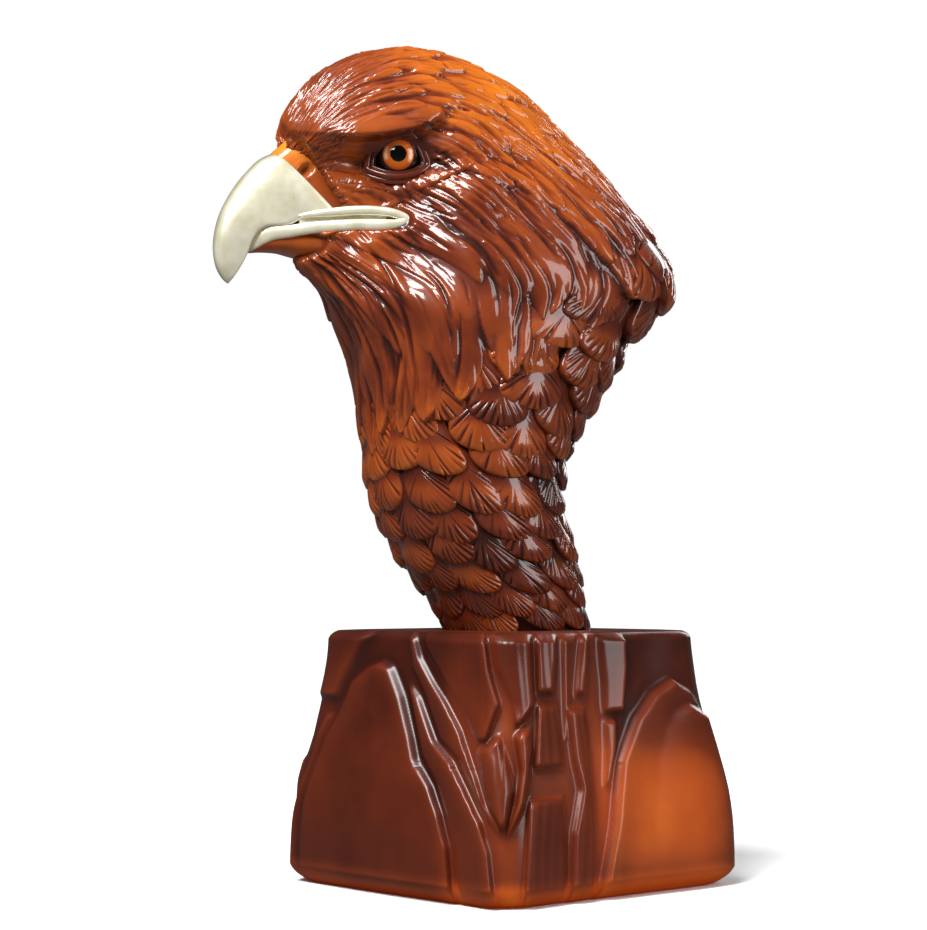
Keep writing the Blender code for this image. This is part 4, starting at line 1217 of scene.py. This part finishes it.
# Ridge point and lower edge point as (forward, up) with the half width, from the cere to the hook.
GOLD_SECTIONS = [
    (107.5, 196.5, 84.5, 174.5, 13.0),
    (109, 198.8, 85, 172.9, 15.0),
    (114.5, 196.0, 91, 171.6, 14.4),
    (119.8, 190.6, 98.2, 170.9, 12.6),
    (124, 185.4, 103, 168.4, 11.2),
    (127.6, 179.6, 108, 167.6, 10.2),
    (130.8, 173, 112.6, 167.2, 9.2),
    (132.8, 166, 116.4, 165, 8.2),
    (133.6, 159.5, 118.6, 161.5, 7.2),
    (133.2, 153.8, 120, 157, 6.0),
    (131.9, 149.2, 122.2, 151.8, 4.6),
    (129.6, 145.6, 125, 146.8, 2.8),
    (127.4, 143.6, 127, 143.8, 0.5),
]
CERE_SECTIONS = [
    (80, 208, 62, 178, 16.5),
    (92, 209.3, 72, 176.5, 16.2),
    (99.5, 207.2, 77, 175.5, 15.4),
    (105, 202.8, 81, 174.4, 14.8),
    (109.6, 198.6, 85.5, 173.6, 14.2),
    (111.5, 195.5, 90, 174, 12.5),
]
print("beak sections:", len(GOLD_SECTIONS), "in gold and", len(CERE_SECTIONS), "in the cere")


def beak_points(sections, along, around):
    """A lofted beak with the U section. around runs from the ridge over the left side and back."""
    top_f, top_z, low_f, low_z, half = np.moveaxis(spline(sections, along), -1, 0)
    left = around <= 0.5
    share = np.where(left, around, 1 - around) * 2 * (len(BEAK_HALF) - 1)
    wide, deep = np.moveaxis(spline(BEAK_HALF, share), -1, 0)
    forward = top_f + (low_f - top_f) * deep
    up = top_z + (low_z - top_z) * deep
    return np.stack([np.where(left, 1, -1) * half * wide, -forward, up], axis=-1)


def beak_shell(shells, sections, rows, columns, warm, press=None):
    """One beak form. warm is a table of heights and warmths, and press may dent the skin."""
    bm = grid_mesh(rows, columns)
    along, around = grid_shares(bm)
    points = beak_points(sections, along * (len(sections) - 1), around)
    if press is not None:
        points = press(points)
    shells.add(bm, points, np.full(len(points), 0.5), np.interp(points[:, 2], *warm))


# %% [markdown]
# ## Pale gold
# The beak isn't leaf but paint: part metal, part cream, brushed on in one coat. Half a metallic shader
# with a thin clear coat looks like that. A Layer Weight node browns the paint where it turns away from
# the camera: painted shade at its edges.

# %% Gold paint
def gold_paint():
    """Pale metallic paint with a faint cloud in it, and painted shade that browns it where it turns away.
    """
    material, nodes, links, shader = new_material("gold_paint")
    dial(shader, {"Metallic": 0.5, "Coat Weight": 0.5, "Coat Roughness": 0.12})
    place = nodes.new("ShaderNodeTexCoord")
    cloud = nodes.new("ShaderNodeTexNoise")
    dial(cloud, {"Scale": 120.0, "Detail": 5.0})
    links.new(place.outputs["Object"], cloud.inputs["Vector"])
    colours = nodes.new("ShaderNodeValToRGB")
    fill_ramp(colours, ((0.3, (0.78, 0.71, 0.48)), (0.7, (1.0, 0.97, 0.78))))
    links.new(cloud.outputs["Fac"], colours.inputs["Fac"])
    # Painted shade: the paint is mixed towards olive brown where it turns away from the camera.
    turned = nodes.new("ShaderNodeLayerWeight")
    turned.inputs["Blend"].default_value = 0.5
    edge = nodes.new("ShaderNodeMapRange")
    dial(edge, {"From Min": 0.35, "From Max": 0.95, "To Max": 0.8})
    links.new(turned.outputs["Facing"], edge.inputs["Value"])
    edge_shaded = nodes.new("ShaderNodeMix")
    edge_shaded.data_type = "RGBA"
    edge_shaded.inputs["B"].default_value = (0.30, 0.27, 0.13, 1)
    links.new(edge.outputs["Result"], edge_shaded.inputs["Factor"])
    links.new(colours.outputs["Color"], edge_shaded.inputs["A"])
    links.new(edge_shaded.outputs["Result"], shader.inputs["Base Color"])
    rough = nodes.new("ShaderNodeMapRange")
    dial(rough, {"To Min": 0.22, "To Max": 0.38})
    links.new(cloud.outputs["Fac"], rough.inputs["Value"])
    links.new(rough.outputs["Result"], shader.inputs["Roughness"])
    return material


gold = gold_paint()
print("paint:", gold.name)

# %% [markdown]
# ## Upper beak and cere
# Gold and cere are two lofts that meet along a slanting line. The nostril is pressed into the skin of the
# cere as an oval pit with a small raised lip, because a dent in a smooth swelling needs no cut.

# %% Upper beak and cere
NOSTRIL = (97.5, 191.0)
# The cere's warmth at heights: brown at the mouth and clear amber at the top.
CERE_WARMTH = ((176, 188, 198, 204), (0.50, 0.58, 0.80, 0.95))


def press_nostril(points):
    """A slanting oval pit on both sides of the cere."""
    forward, up = -points[:, 1] - NOSTRIL[0], points[:, 2] - NOSTRIL[1]
    slant = math.radians(-38)
    long = forward * math.cos(slant) + up * math.sin(slant)
    short = -forward * math.sin(slant) + up * math.cos(slant)
    pit = np.exp(-((long / 3.5) ** 2 + (short / 1.9) ** 2) ** 1.5)
    lip = np.exp(-((np.hypot(long / 5.0, short / 3.2) - 1) / 0.25) ** 2)
    points[:, 0] += np.sign(points[:, 0]) * (0.35 * lip - 3.4 * pit) * (np.abs(points[:, 0]) > 4)
    return points


shells = Shells()
beak_shell(shells, GOLD_SECTIONS, 130, 96, ((0, 1), (0.5, 0.5)))
upper_beak = shells.finish("upper_beak", gold)
shells = Shells()
beak_shell(shells, CERE_SECTIONS, 110, 150, CERE_WARMTH, press_nostril)
cere = shells.finish("cere", head_lacquer)

# %% [markdown]
# ## Lips and chin
# The gold runs back over both lips in one line, round the corner of the mouth. So the lips are one bead
# swept along a path, flattened to a ribbon that turns to face forward at the front. A thinner bead behind
# it keeps the groove between the two lips shallow. The chin is a small loft under the lower lip.

# %% Lips and chin
# The middle line of the gold bead on the left side: from the front back along the upper lip, round the
# corner of the mouth and forward along the lower lip, as (forward, left, up, half thickness, half height).
LIP_PATH = [
    (101, 11.9, 171.6, 0.8, 0.9), (94, 13.9, 172.6, 1.4, 1.5), (87, 16.2, 173.4, 1.7, 1.9),
    (80, 18.8, 174, 1.8, 2.1), (73, 21.5, 174.2, 1.9, 2.1), (66, 24.2, 173.6, 1.9, 2.0),
    (61.5, 25.9, 172.4, 1.8, 1.9), (58.3, 27, 170.6, 1.6, 1.7), (61.2, 26, 168.9, 1.8, 1.9),
    (66, 24.2, 168.2, 2.0, 2.4), (73, 21.3, 168.2, 2.0, 2.5), (80, 18.5, 168.1, 2.0, 2.5),
    (88, 15.4, 167.6, 1.9, 2.5), (96, 12.4, 166.8, 1.9, 2.6), (103, 9.9, 165.5, 1.9, 2.7),
    (110, 7.4, 164.8, 1.8, 3.2), (115, 5.2, 163.0, 1.7, 3.6), (118, 2.8, 161.2, 1.5, 3.8),
    (118.9, 0, 160.6, 1.4, 3.8),
]
SLIT_PATH = [
    (100, 10.2, 169.0, 0.8, 2.0), (88, 14.2, 170.4, 0.9, 2.4), (80, 17.1, 170.9, 0.9, 2.6),
    (73, 19.7, 171.1, 0.9, 2.6), (66, 22.4, 170.9, 0.9, 2.4), (61, 24.2, 170.7, 0.8, 1.6),
]
# The way the lips face, in degrees from sideways to forward, at places along the beak.
LIP_FACING = ((58, 105, 113, 116.5, 118.5, 119), (20, 22, 30, 45, 75, 90))
# Top point and bottom point as (forward, up) with the half width, from the throat forward.
CHIN_SECTIONS = [
    (56, 168, 62, 152, 17),
    (70, 167.5, 76, 153.5, 15.5),
    (84, 167, 88, 155, 13.6),
    (95, 166.5, 98, 156, 11.4),
    (104.5, 165.5, 105.5, 157.4, 9.0),
    (112.5, 164.5, 113, 157.4, 6.6),
    (117.4, 161.5, 118, 156.8, 3.2),
]


def mirrored(path):
    """The same path on the other side of the head, walked the other way."""
    return [(f, -left, up, thick, tall) for f, left, up, thick, tall in path[::-1]]


def lip_shell(shells, path, rows, columns):
    """A flattened bead along a lip. Its flat side faces the way the lips face."""
    path = np.array(path, float)
    bm = grid_mesh(rows, columns)
    along, around = grid_shares(bm)
    where = along * (len(path) - 1)
    forward, left, up, thick, tall = np.moveaxis(spline(path, where), -1, 0)
    step = spline(path, where + 0.05) - spline(path, where - 0.05)
    run = unit(np.stack([step[:, 1], -step[:, 0], step[:, 2]], axis=-1))
    facing = np.radians(np.interp(forward, *LIP_FACING))
    outward = np.stack([np.sign(left) * np.cos(facing), -np.sin(facing), 0 * facing], axis=-1)
    outward = unit(outward - run * (outward * run).sum(axis=-1, keepdims=True))
    over = np.cross(run, outward)
    turn = around * 2 * math.pi
    end = np.sqrt(np.clip(1 - (2 * along - 1) ** 60, 0, 1))
    c, s = np.cos(turn), np.sin(turn)
    c = np.sign(c) * np.abs(c) ** 0.8
    s = np.sign(s) * np.abs(s) ** 0.8
    middle = np.stack([left, -forward, up], axis=-1)
    points = middle + outward * (c * thick * end)[:, None] + over * (s * tall * end)[:, None]
    shells.add(bm, points, np.full(len(points), 0.5), np.full(len(points), 0.5))


shells = Shells()
lip_shell(shells, LIP_PATH + mirrored(LIP_PATH)[1:], 420, 22)
lip_shell(shells, SLIT_PATH, 60, 14)
lip_shell(shells, mirrored(SLIT_PATH), 60, 14)
lips = shells.finish("gold_lips", gold)


def chin_piece():
    """The chin as a closed loft under the lower lip."""
    bm = grid_mesh(60, 48)
    along, around = grid_shares(bm)
    points = section_points(CHIN_SECTIONS, along * (len(CHIN_SECTIONS) - 1), around * 2 * math.pi, 2.3)
    shells = Shells()
    shells.add(bm, points, np.full(len(points), 0.5), np.full(len(points), 0.6))
    return shells.finish("chin", head_lacquer)


chin = chin_piece()

# %% [markdown]
# ## The rock
# The plinth is a block carved as layered rock: two big smooth lobes, strands that run up between them,
# and upright splintered slabs at the corner. Its sides are unrolled: a place is a share along the faces
# and a share of the height, and each slab is drawn there by its left and right edge. The highest slab
# wins at each place, with a bevelled rim, and the whole relief pushes a fine grid outwards.

# %% Slabs
PLINTH_FOOT_WIDTH = 139.5
PLINTH_TOP_WIDTH = 117.5
PLINTH_CORNER_RADIUS = 14.0
PLINTH_TOP_ROUND = 4.0
PLINTH_FOOT_ROUND = 8.0

# Each slab: left edge, right edge, and how far it stands out at the left, the right and the middle.
LEFT_LOBE = ([(-0.93, 0), (-0.93, 0.33), (-0.88, 0.58), (-0.83, 0.69), (-0.79, 0.8), (-0.71, 0.86),
              (-0.62, 0.885)],
             [(-0.19, 0), (-0.21, 0.21), (-0.25, 0.33), (-0.3, 0.43), (-0.38, 0.52), (-0.41, 0.6),
              (-0.48, 0.75), (-0.55, 0.86), (-0.62, 0.885)], 0.8, 3.4, 1.6)
SECOND_STRAND = ([(-0.17, 0), (-0.19, 0.21), (-0.23, 0.33), (-0.28, 0.43), (-0.36, 0.53), (-0.4, 0.62),
                  (-0.46, 0.77), (-0.47, 0.81)],
                 [(-0.02, 0), (-0.04, 0.21), (-0.07, 0.31), (-0.14, 0.42), (-0.21, 0.52), (-0.3, 0.59),
                  (-0.35, 0.67), (-0.4, 0.75), (-0.47, 0.81)], 0.9, 3.6, 0)
THIRD_STRAND = ([(-0.01, 0.27), (-0.05, 0.33), (-0.12, 0.43), (-0.19, 0.53), (-0.28, 0.6), (-0.33, 0.68),
                 (-0.38, 0.76), (-0.46, 0.86), (-0.49, 1.05)],
                [(0, 0.27), (-0.06, 0.38), (-0.09, 0.46), (-0.13, 0.54), (-0.18, 0.64), (-0.26, 0.74),
                 (-0.33, 0.81), (-0.41, 0.9), (-0.47, 1.05)], 0.9, 3.4, 0)
TOP_SLAB = ([(-0.1, 0.6), (-0.17, 0.7), (-0.24, 0.78), (-0.31, 0.86), (-0.39, 0.94), (-0.41, 1.05)],
            [(-0.06, 0.6), (-0.01, 0.74), (-0.05, 0.87), (-0.08, 1.05)], 1.0, 3.4, 0)
CORNER_SLAB = ([(0.03, 0.66), (0.02, 0.75), (-0.03, 0.87), (-0.06, 1.05)],
               [(0.05, 0.66), (0.12, 0.74), (0.11, 0.88), (0.1, 1.05)], 1.0, 3.2, 0)
LEFT_LEAF = ([(0, 0.27), (-0.05, 0.37), (-0.08, 0.48), (-0.1, 0.57), (-0.01, 0.625)],
             [(0, 0.27), (0.02, 0.33), (0.04, 0.43), (0.02, 0.53), (-0.01, 0.625)], 0.6, 0.6, 2.8)
RIGHT_LEAF = ([(0.01, 0.27), (0.035, 0.38), (0.05, 0.5), (0.03, 0.62), (0.06, 0.655)],
              [(0.02, 0.27), (0.07, 0.38), (0.09, 0.48), (0.11, 0.58), (0.1, 0.655)], 1.0, 1.0, 3.0)
LOW_SLAB = ([(0.06, 0), (0.07, 0.2), (0.08, 0.36), (0.09, 0.4)],
            [(0.24, 0), (0.235, 0.3), (0.23, 0.44)], 2.8, 1.2, 0)
MIDDLE_BLOCK = ([(0.1, 0.43), (0.115, 0.58), (0.13, 0.74)],
                [(0.24, 0.5), (0.235, 0.63), (0.22, 0.76)], 3.2, 1.8, 0)
UPPER_BLOCK = ([(0.13, 0.75), (0.13, 0.9), (0.12, 1.05)],
               [(0.21, 0.77), (0.225, 0.9), (0.23, 1.05)], 2.4, 3.4, 0)
AMBER_BLOCK = ([(0.25, 0.6), (0.255, 0.75), (0.26, 1.05)],
               [(0.27, 0.6), (0.3, 0.83), (0.34, 1.05)], 1.4, 0.6, 0)
RIGHT_COLUMN = ([(0.25, 0), (0.26, 0.26), (0.3, 0.42), (0.28, 0.53), (0.27, 0.72)],
                [(0.35, 0), (0.36, 0.26), (0.36, 0.53), (0.35, 0.74)], 3.2, 2.2, 0)
SPLIT_BLOCK = ([(0.31, 0.76), (0.33, 0.88), (0.36, 1.05)],
               [(0.36, 0.76), (0.385, 0.9), (0.39, 1.05)], 2.2, 3.0, 0)
PROUD_BLOCK = ([(0.44, 0.69), (0.45, 0.81), (0.44, 1.05)],
               [(0.53, 0.68), (0.565, 0.87), (0.57, 1.05)], 1.4, 4.4, 0)
HANGING_BLOCK = ([(0.41, 0.42), (0.43, 0.56), (0.44, 0.68)],
                 [(0.43, 0.42), (0.48, 0.56), (0.5, 0.67)], 1.2, 3.2, 0)
RIGHT_LOBE = ([(0.37, 0), (0.4, 0.14), (0.43, 0.27), (0.45, 0.38), (0.48, 0.51), (0.58, 0.67),
               (0.68, 0.76), (0.8, 0.815)],
              [(1.04, 0), (1.04, 0.38), (1.01, 0.53), (0.97, 0.66), (0.91, 0.76), (0.8, 0.815)],
              3.6, 0.2, 1.2)
INNER_LOBE = ([(0.5, 0), (0.53, 0.3), (0.6, 0.52), (0.67, 0.62), (0.75, 0.68), (0.85, 0.715)],
              [(1.05, 0), (1.05, 0.38), (1.02, 0.53), (0.98, 0.66), (0.85, 0.715)], 2.8, 0.8, 2.4)
SIDE_BLOCK = ([(-1.04, 0.73), (-1.04, 1.05)],
              [(-0.86, 0.7), (-0.79, 0.83), (-0.75, 0.9), (-0.66, 1.05)], 0.4, 3.0, 0)
SIDE_STRAND = ([(-1.04, 0), (-1.0, 0.26), (-0.97, 0.38), (-0.93, 0.5), (-0.92, 0.6), (-0.9, 0.67)],
               [(-0.945, 0), (-0.945, 0.33), (-0.9, 0.56), (-0.85, 0.68)], 0.8, 2.4, 0)
SIDE_LEAF = ([(-1.1, 0.2), (-1.09, 0.4), (-1.03, 0.5)],
             [(-1.05, 0.2), (-1.0, 0.4), (-1.0, 0.5)], 1.0, 2.6, 0)
FRONT_SLABS = [LEFT_LOBE, SECOND_STRAND, THIRD_STRAND, TOP_SLAB, CORNER_SLAB, LEFT_LEAF, RIGHT_LEAF,
               LOW_SLAB, MIDDLE_BLOCK, UPPER_BLOCK, AMBER_BLOCK, RIGHT_COLUMN, SPLIT_BLOCK,
               PROUD_BLOCK, HANGING_BLOCK, RIGHT_LOBE, INNER_LOBE, SIDE_BLOCK, SIDE_STRAND, SIDE_LEAF]
# The two hidden faces repeat the plainer slabs round the opposite corner, two faces further.
BACK_SLABS = [LEFT_LOBE, SECOND_STRAND, THIRD_STRAND, CORNER_SLAB, LOW_SLAB, RIGHT_COLUMN, PROUD_BLOCK,
              RIGHT_LOBE, SIDE_STRAND]
OPPOSITE_CORNER = 2
SLAB_BEVEL = 1.9
# The deep split beside the right lobe: its place along the face at heights, its depth and half width.
SPLIT_LINE = ((0, 0.32, 0.71, 1), (0.36, 0.385, 0.4, 0.405))
SPLIT_DEPTH = 3.2
SPLIT_HALF = 1.2
print("slabs:", len(FRONT_SLABS), "in front and", len(BACK_SLABS), "behind")


# %% Relief of the slabs
def edge_at(edge, height):
    """Where a slab's edge lies at some heights."""
    shares, heights = np.array(edge, float).T
    return np.interp(height, heights, shares)


def slab_relief(slab, share, height):
    """How far one slab stands out, in millimetres, with a bevelled rim."""
    left_edge, right_edge, at_left, at_right, at_middle = slab
    left, right = edge_at(left_edge, height), edge_at(right_edge, height)
    low = max(left_edge[0][1], right_edge[0][1])
    high = min(left_edge[-1][1], right_edge[-1][1])
    across = (share - left) / np.maximum(right - left, 1e-6)
    inside = np.minimum(share - left, right - share) * PLINTH_FOOT_WIDTH
    above = (height - low) * PLINTH_HEIGHT if low > 0 else np.full(height.shape, 9.0)
    rim = np.minimum(np.minimum(inside, (high - height) * PLINTH_HEIGHT), above)
    out = at_left + (at_right - at_left) * across + at_middle * 4 * across * (1 - across)
    return np.where(rim > -1, out * ramp(rim, -0.6, SLAB_BEVEL), 0.0)


def rock_relief(share, height):
    """The relief of all slabs in millimetres, with the split cut into it."""
    relief = np.zeros(share.shape)
    for slabs, shift in ((FRONT_SLABS, 0), (BACK_SLABS, OPPOSITE_CORNER)):
        near = (share - shift + 2) % 4 - 2
        for slab in slabs:
            relief = np.maximum(relief, slab_relief(slab, near, height))
        away = np.abs(near - np.interp(height, *SPLIT_LINE)) * PLINTH_FOOT_WIDTH
        cut = SPLIT_DEPTH * np.exp(-((away / SPLIT_HALF) ** 2))
        relief = relief - cut * np.clip((0.95 - height) * 8, 0, 1)
    return relief


def rounded_square(share, half, radius):
    """Points on a square outline with round corners. share counts faces from the corner at +X, -Y."""
    face = np.floor(share)
    quarter = math.pi / 4 * radius
    flat = 2 * (half - radius)
    walk = (share - face) * (2 * quarter + flat) - quarter
    turn = np.where(walk < 0, walk / radius, np.where(walk > flat, (walk - flat) / radius, 0.0))
    out = half - radius + radius * np.cos(turn)
    run = np.clip(walk, 0, flat) - (half - radius) + radius * np.sin(turn)
    angle = face * math.pi / 2
    return out * np.cos(angle) - run * np.sin(angle), out * np.sin(angle) + run * np.cos(angle)


# %% [markdown]
# ## Carving the block
# The grid is rolled into a tube round a square with round corners. Its first and last rows are drawn in
# to a point, so the block is closed above and below. Faces are crowded round the corner that is seen. The
# relief is blurred a little, so no rim is sharper than a cast one. What stands above a wider blur was
# rubbed lighter, and what lies below it is darker with painted shade.

# %% Carve the rock
ROCK_ROUND = 560
ROCK_UP = 172
ROCK_END_SHARE = 0.05
# How much of the difference between foot and top width is left, at shares of the height.
FLARE = ((0, 0.2, 0.34, 0.5, 0.66, 0.8, 1), (1, 1, 0.92, 0.64, 0.36, 0.14, 0))
FLARE_REACH = 0.12
# The middle of the painted glow on the right lobe, light shining through the resin, as shares along the
# face and up, and its reach.
PAINTED_GLOW_PLACE = (0.68, 0.32)
PAINTED_GLOW_REACH = 0.28


def round_off(depth, radius):
    """How far a rounded edge draws in, at a depth from that end."""
    return radius * (1 - np.sqrt(1 - np.clip(1 - depth / radius, 0, 1) ** 2))


def rock_warmth(share, side, relief, corner):
    """Dark rock, warm at the foot, with a painted glow on the right lobe, and warmer between the corner's
    slabs.
    """
    painted_glow = np.exp(-(((share - PAINTED_GLOW_PLACE[0]) / PAINTED_GLOW_REACH) ** 4))
    painted_glow = painted_glow * np.exp(-(((side - PAINTED_GLOW_PLACE[1]) / PAINTED_GLOW_REACH) ** 4))
    foot = 1 - ramp(side, 0.02, 0.12)
    seam = 1 - ramp(np.abs(relief), 0.4, 1.4)
    return 0.27 + 0.34 * painted_glow + 0.3 * foot - 0.05 * ramp(side, 0.7, 1.0) + (0.04 + 0.14 * seam) * corner


def rock_piece():
    """The whole plinth as one closed tube of relief."""
    bm = grid_mesh(ROCK_ROUND, ROCK_UP)
    round_share, up_share = grid_shares(bm)
    side = np.clip((up_share - ROCK_END_SHARE) / (1 - 2 * ROCK_END_SHARE), 0, 1)
    inward = np.clip(1 - np.minimum(up_share, 1 - up_share) / ROCK_END_SHARE, 0, 1)
    height = side * PLINTH_HEIGHT
    turned = 2 * round_share - 1
    share = 2 * np.sign(turned) * (0.45 * np.abs(turned) + 0.55 * np.abs(turned) ** 2.2)
    down, over = height, PLINTH_HEIGHT - height
    foot_drop = round_off(down, PLINTH_FOOT_ROUND)
    top_drop = round_off(over, PLINTH_TOP_ROUND)
    relief = rock_relief(share, side)
    row = np.rint(round_share * (ROCK_ROUND - 1)).astype(int)
    column = np.rint(up_share * (ROCK_UP - 1)).astype(int)
    table = np.zeros((ROCK_ROUND, ROCK_UP))
    table[row, column] = relief
    smooth = blurred(table, 1, 2)
    cavity = (smooth - blurred(smooth, 5))[row, column]
    relief = smooth[row, column]
    ripple = 0.35 * np.sin(share * 23 + 1.5 * np.sin(side * 9)) * ramp(side, 0.45, 0.9)
    corner = ramp(share, -0.32, -0.2) * (1 - ramp(share, 0.4, 0.5))
    strata = 0.07 * np.sin(share * 170 + 2.5 * np.sin(side * 7 + share * 5))
    strata = strata * ramp(relief, 1.0, 2.2) * corner
    fine = relief + ripple + strata
    fine = fine * np.clip(over / PLINTH_TOP_ROUND, 0.35, 1) * np.clip(down / PLINTH_FOOT_ROUND, 0.3, 1)
    flare = eased(side, *FLARE, FLARE_REACH)
    wide = PLINTH_TOP_WIDTH / 2 + (PLINTH_FOOT_WIDTH - PLINTH_TOP_WIDTH) / 2 * flare
    half = (wide - foot_drop - top_drop + fine) * (1 - inward)
    radius = np.maximum(np.minimum(PLINTH_CORNER_RADIUS, half * 0.5), 1e-6)
    x, y = rounded_square(share, half, radius)
    # Hollows darker with painted shade, high spots rubbed lighter.
    raised = np.clip(0.5 + 0.13 * np.maximum(cavity, 0) + 0.2 * np.minimum(cavity, 0), 0.1, 0.9)
    warmth = rock_warmth(share, side, relief, corner)
    on_end = np.clip(3 * inward, 0, 1)
    raised = raised + (0.5 - raised) * on_end
    warmth = warmth + (0.3 - warmth) * on_end
    points = np.stack([x, y, height], axis=1)
    shells = Shells()
    shells.add(bm, points, raised, warmth)
    return shells.finish("carved_rock", rock_lacquer, TO_METRES)


rock = rock_piece()

# %% [markdown]
# ## Join the pieces to the model
# Each piece rides on the one body and stands for the solid it covers, which is hidden.

# %% Ride and replace
bust_pieces = neck + [core, mane, head, lids, cere, chin, upper_beak, lips]
for piece in bust_pieces:
    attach(piece, "root")
    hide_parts("eagle_bust")
for piece, node in zip(eyes, ("eye_left", "eye_right")):
    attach(piece, "root")
    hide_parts(node)
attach(rock, "root")
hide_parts("rock_plinth")
print("pieces:", len(bust_pieces) + len(eyes) + 1)

# %% [markdown]
# ## Camera, light and floor
# The photograph was taken from about a metre away with a long lens, level with the lower neck and corner
# on to the plinth. Soft boxes give the lacquer its white highlights, and a soft sun from the left models
# the carving. Ground and world look white to the camera but are dim in reflections: a dark gloss would
# otherwise mirror them as a grey veil over all its colour.

# %% Camera
CAMERA_AZIMUTH = math.radians(48.0)
CAMERA_DISTANCE = 1.017
CAMERA_ASIDE = -0.0203
CAMERA_HEIGHT = 0.1272
CAMERA_TILT = math.radians(2.92)
CAMERA_LENS = 91.0


def add_camera():
    """Places the camera, and gives the directions towards it and to its right."""
    away = Vector((math.sin(CAMERA_AZIMUTH), -math.cos(CAMERA_AZIMUTH), 0))
    right = Vector((math.cos(CAMERA_AZIMUTH), math.sin(CAMERA_AZIMUTH), 0))
    camera = add_object("camera", bpy.data.cameras.new("camera"))
    camera.location = away * CAMERA_DISTANCE + right * CAMERA_ASIDE + Vector((0, 0, CAMERA_HEIGHT))
    look = -away * math.cos(CAMERA_TILT) + Vector((0, 0, math.sin(CAMERA_TILT)))
    camera.rotation_euler = look.to_track_quat("-Z", "Y").to_euler()
    camera.data.lens = CAMERA_LENS
    camera.data.sensor_width = 36.0
    camera.data.clip_end = 20.0
    bpy.context.scene.camera = camera
    return away, right


away, right = add_camera()
print("camera at", [round(v, 3) for v in bpy.context.scene.camera.location])


# %% Lights
def add_soft_box(name, place, target, width, height, watts):
    """A rectangular studio lamp that faces its target."""
    light = bpy.data.lights.new(name, "AREA")
    light.shape = "RECTANGLE"
    light.size, light.size_y = width, height
    light.energy = watts
    lamp = add_object(name, light)
    lamp.location = place
    lamp.rotation_euler = (Vector(target) - Vector(place)).to_track_quat("-Z", "Y").to_euler()


middle = (0, 0, 0.2)
up = Vector((0, 0, 1))
add_soft_box("key_box", away * 1.0 - right * 0.55 + up * 1.1, middle, 0.45, 0.45, 16)
add_soft_box("fill_box", away * 0.7 + right * 1.1 + up * 0.55, middle, 0.55, 1.0, 10)
add_soft_box("rim_box", -away * 0.9 + right * 0.6 + up * 0.6, middle, 0.3, 0.7, 3)

sun = bpy.data.lights.new("sun", "SUN")
sun.energy = 3.9
sun.angle = math.radians(24)
sun_lamp = add_object("sun", sun)
sun_lamp.rotation_euler = (away * 0.42 - right * 0.34 + up).to_track_quat("Z", "Y").to_euler()
print("lamps:", len(bpy.data.lights))


# %% World and floor
def by_ray(tree, socket, lighting, in_gloss, seen):
    """Gives a socket one value for light, another for reflections and a third for the camera's own rays."""
    nodes, links = tree.nodes, tree.links
    rays = nodes.new("ShaderNodeLightPath")
    other = nodes.new("ShaderNodeMapRange")
    dial(other, {"To Min": lighting, "To Max": in_gloss})
    links.new(rays.outputs["Is Glossy Ray"], other.inputs["Value"])
    chosen = nodes.new("ShaderNodeMapRange")
    dial(chosen, {"To Max": seen})
    links.new(other.outputs["Result"], chosen.inputs["To Min"])
    links.new(rays.outputs["Is Camera Ray"], chosen.inputs["Value"])
    links.new(chosen.outputs["Result"], socket)


world = bpy.data.worlds.new("studio")
bpy.context.scene.world = world
world.use_nodes = True
backdrop = world.node_tree.nodes["Background"]
backdrop.inputs["Color"].default_value = (1, 1, 1, 1)
by_ray(world.node_tree, backdrop.inputs["Strength"], 0.2, 0.06, 1.0)


def add_floor():
    """A plain pale ground, grey to the light and to reflections so that it leaves the lacquer dark."""
    bm = bmesh.new()
    bmesh.ops.create_grid(bm, x_segments=2, y_segments=2, size=6.0)
    mesh = bpy.data.meshes.new("floor")
    bm.to_mesh(mesh)
    bm.free()
    floor = add_object("floor", mesh)
    material, _, _, shader = new_material("pale_floor")
    dial(shader, {"Roughness": 0.8, "Specular IOR Level": 0.1})
    by_ray(material.node_tree, shader.inputs["Base Color"], 0.18, 0.07, 0.92)
    mesh.materials.append(material)


add_floor()
bpy.context.scene.view_settings.view_transform = "Standard"
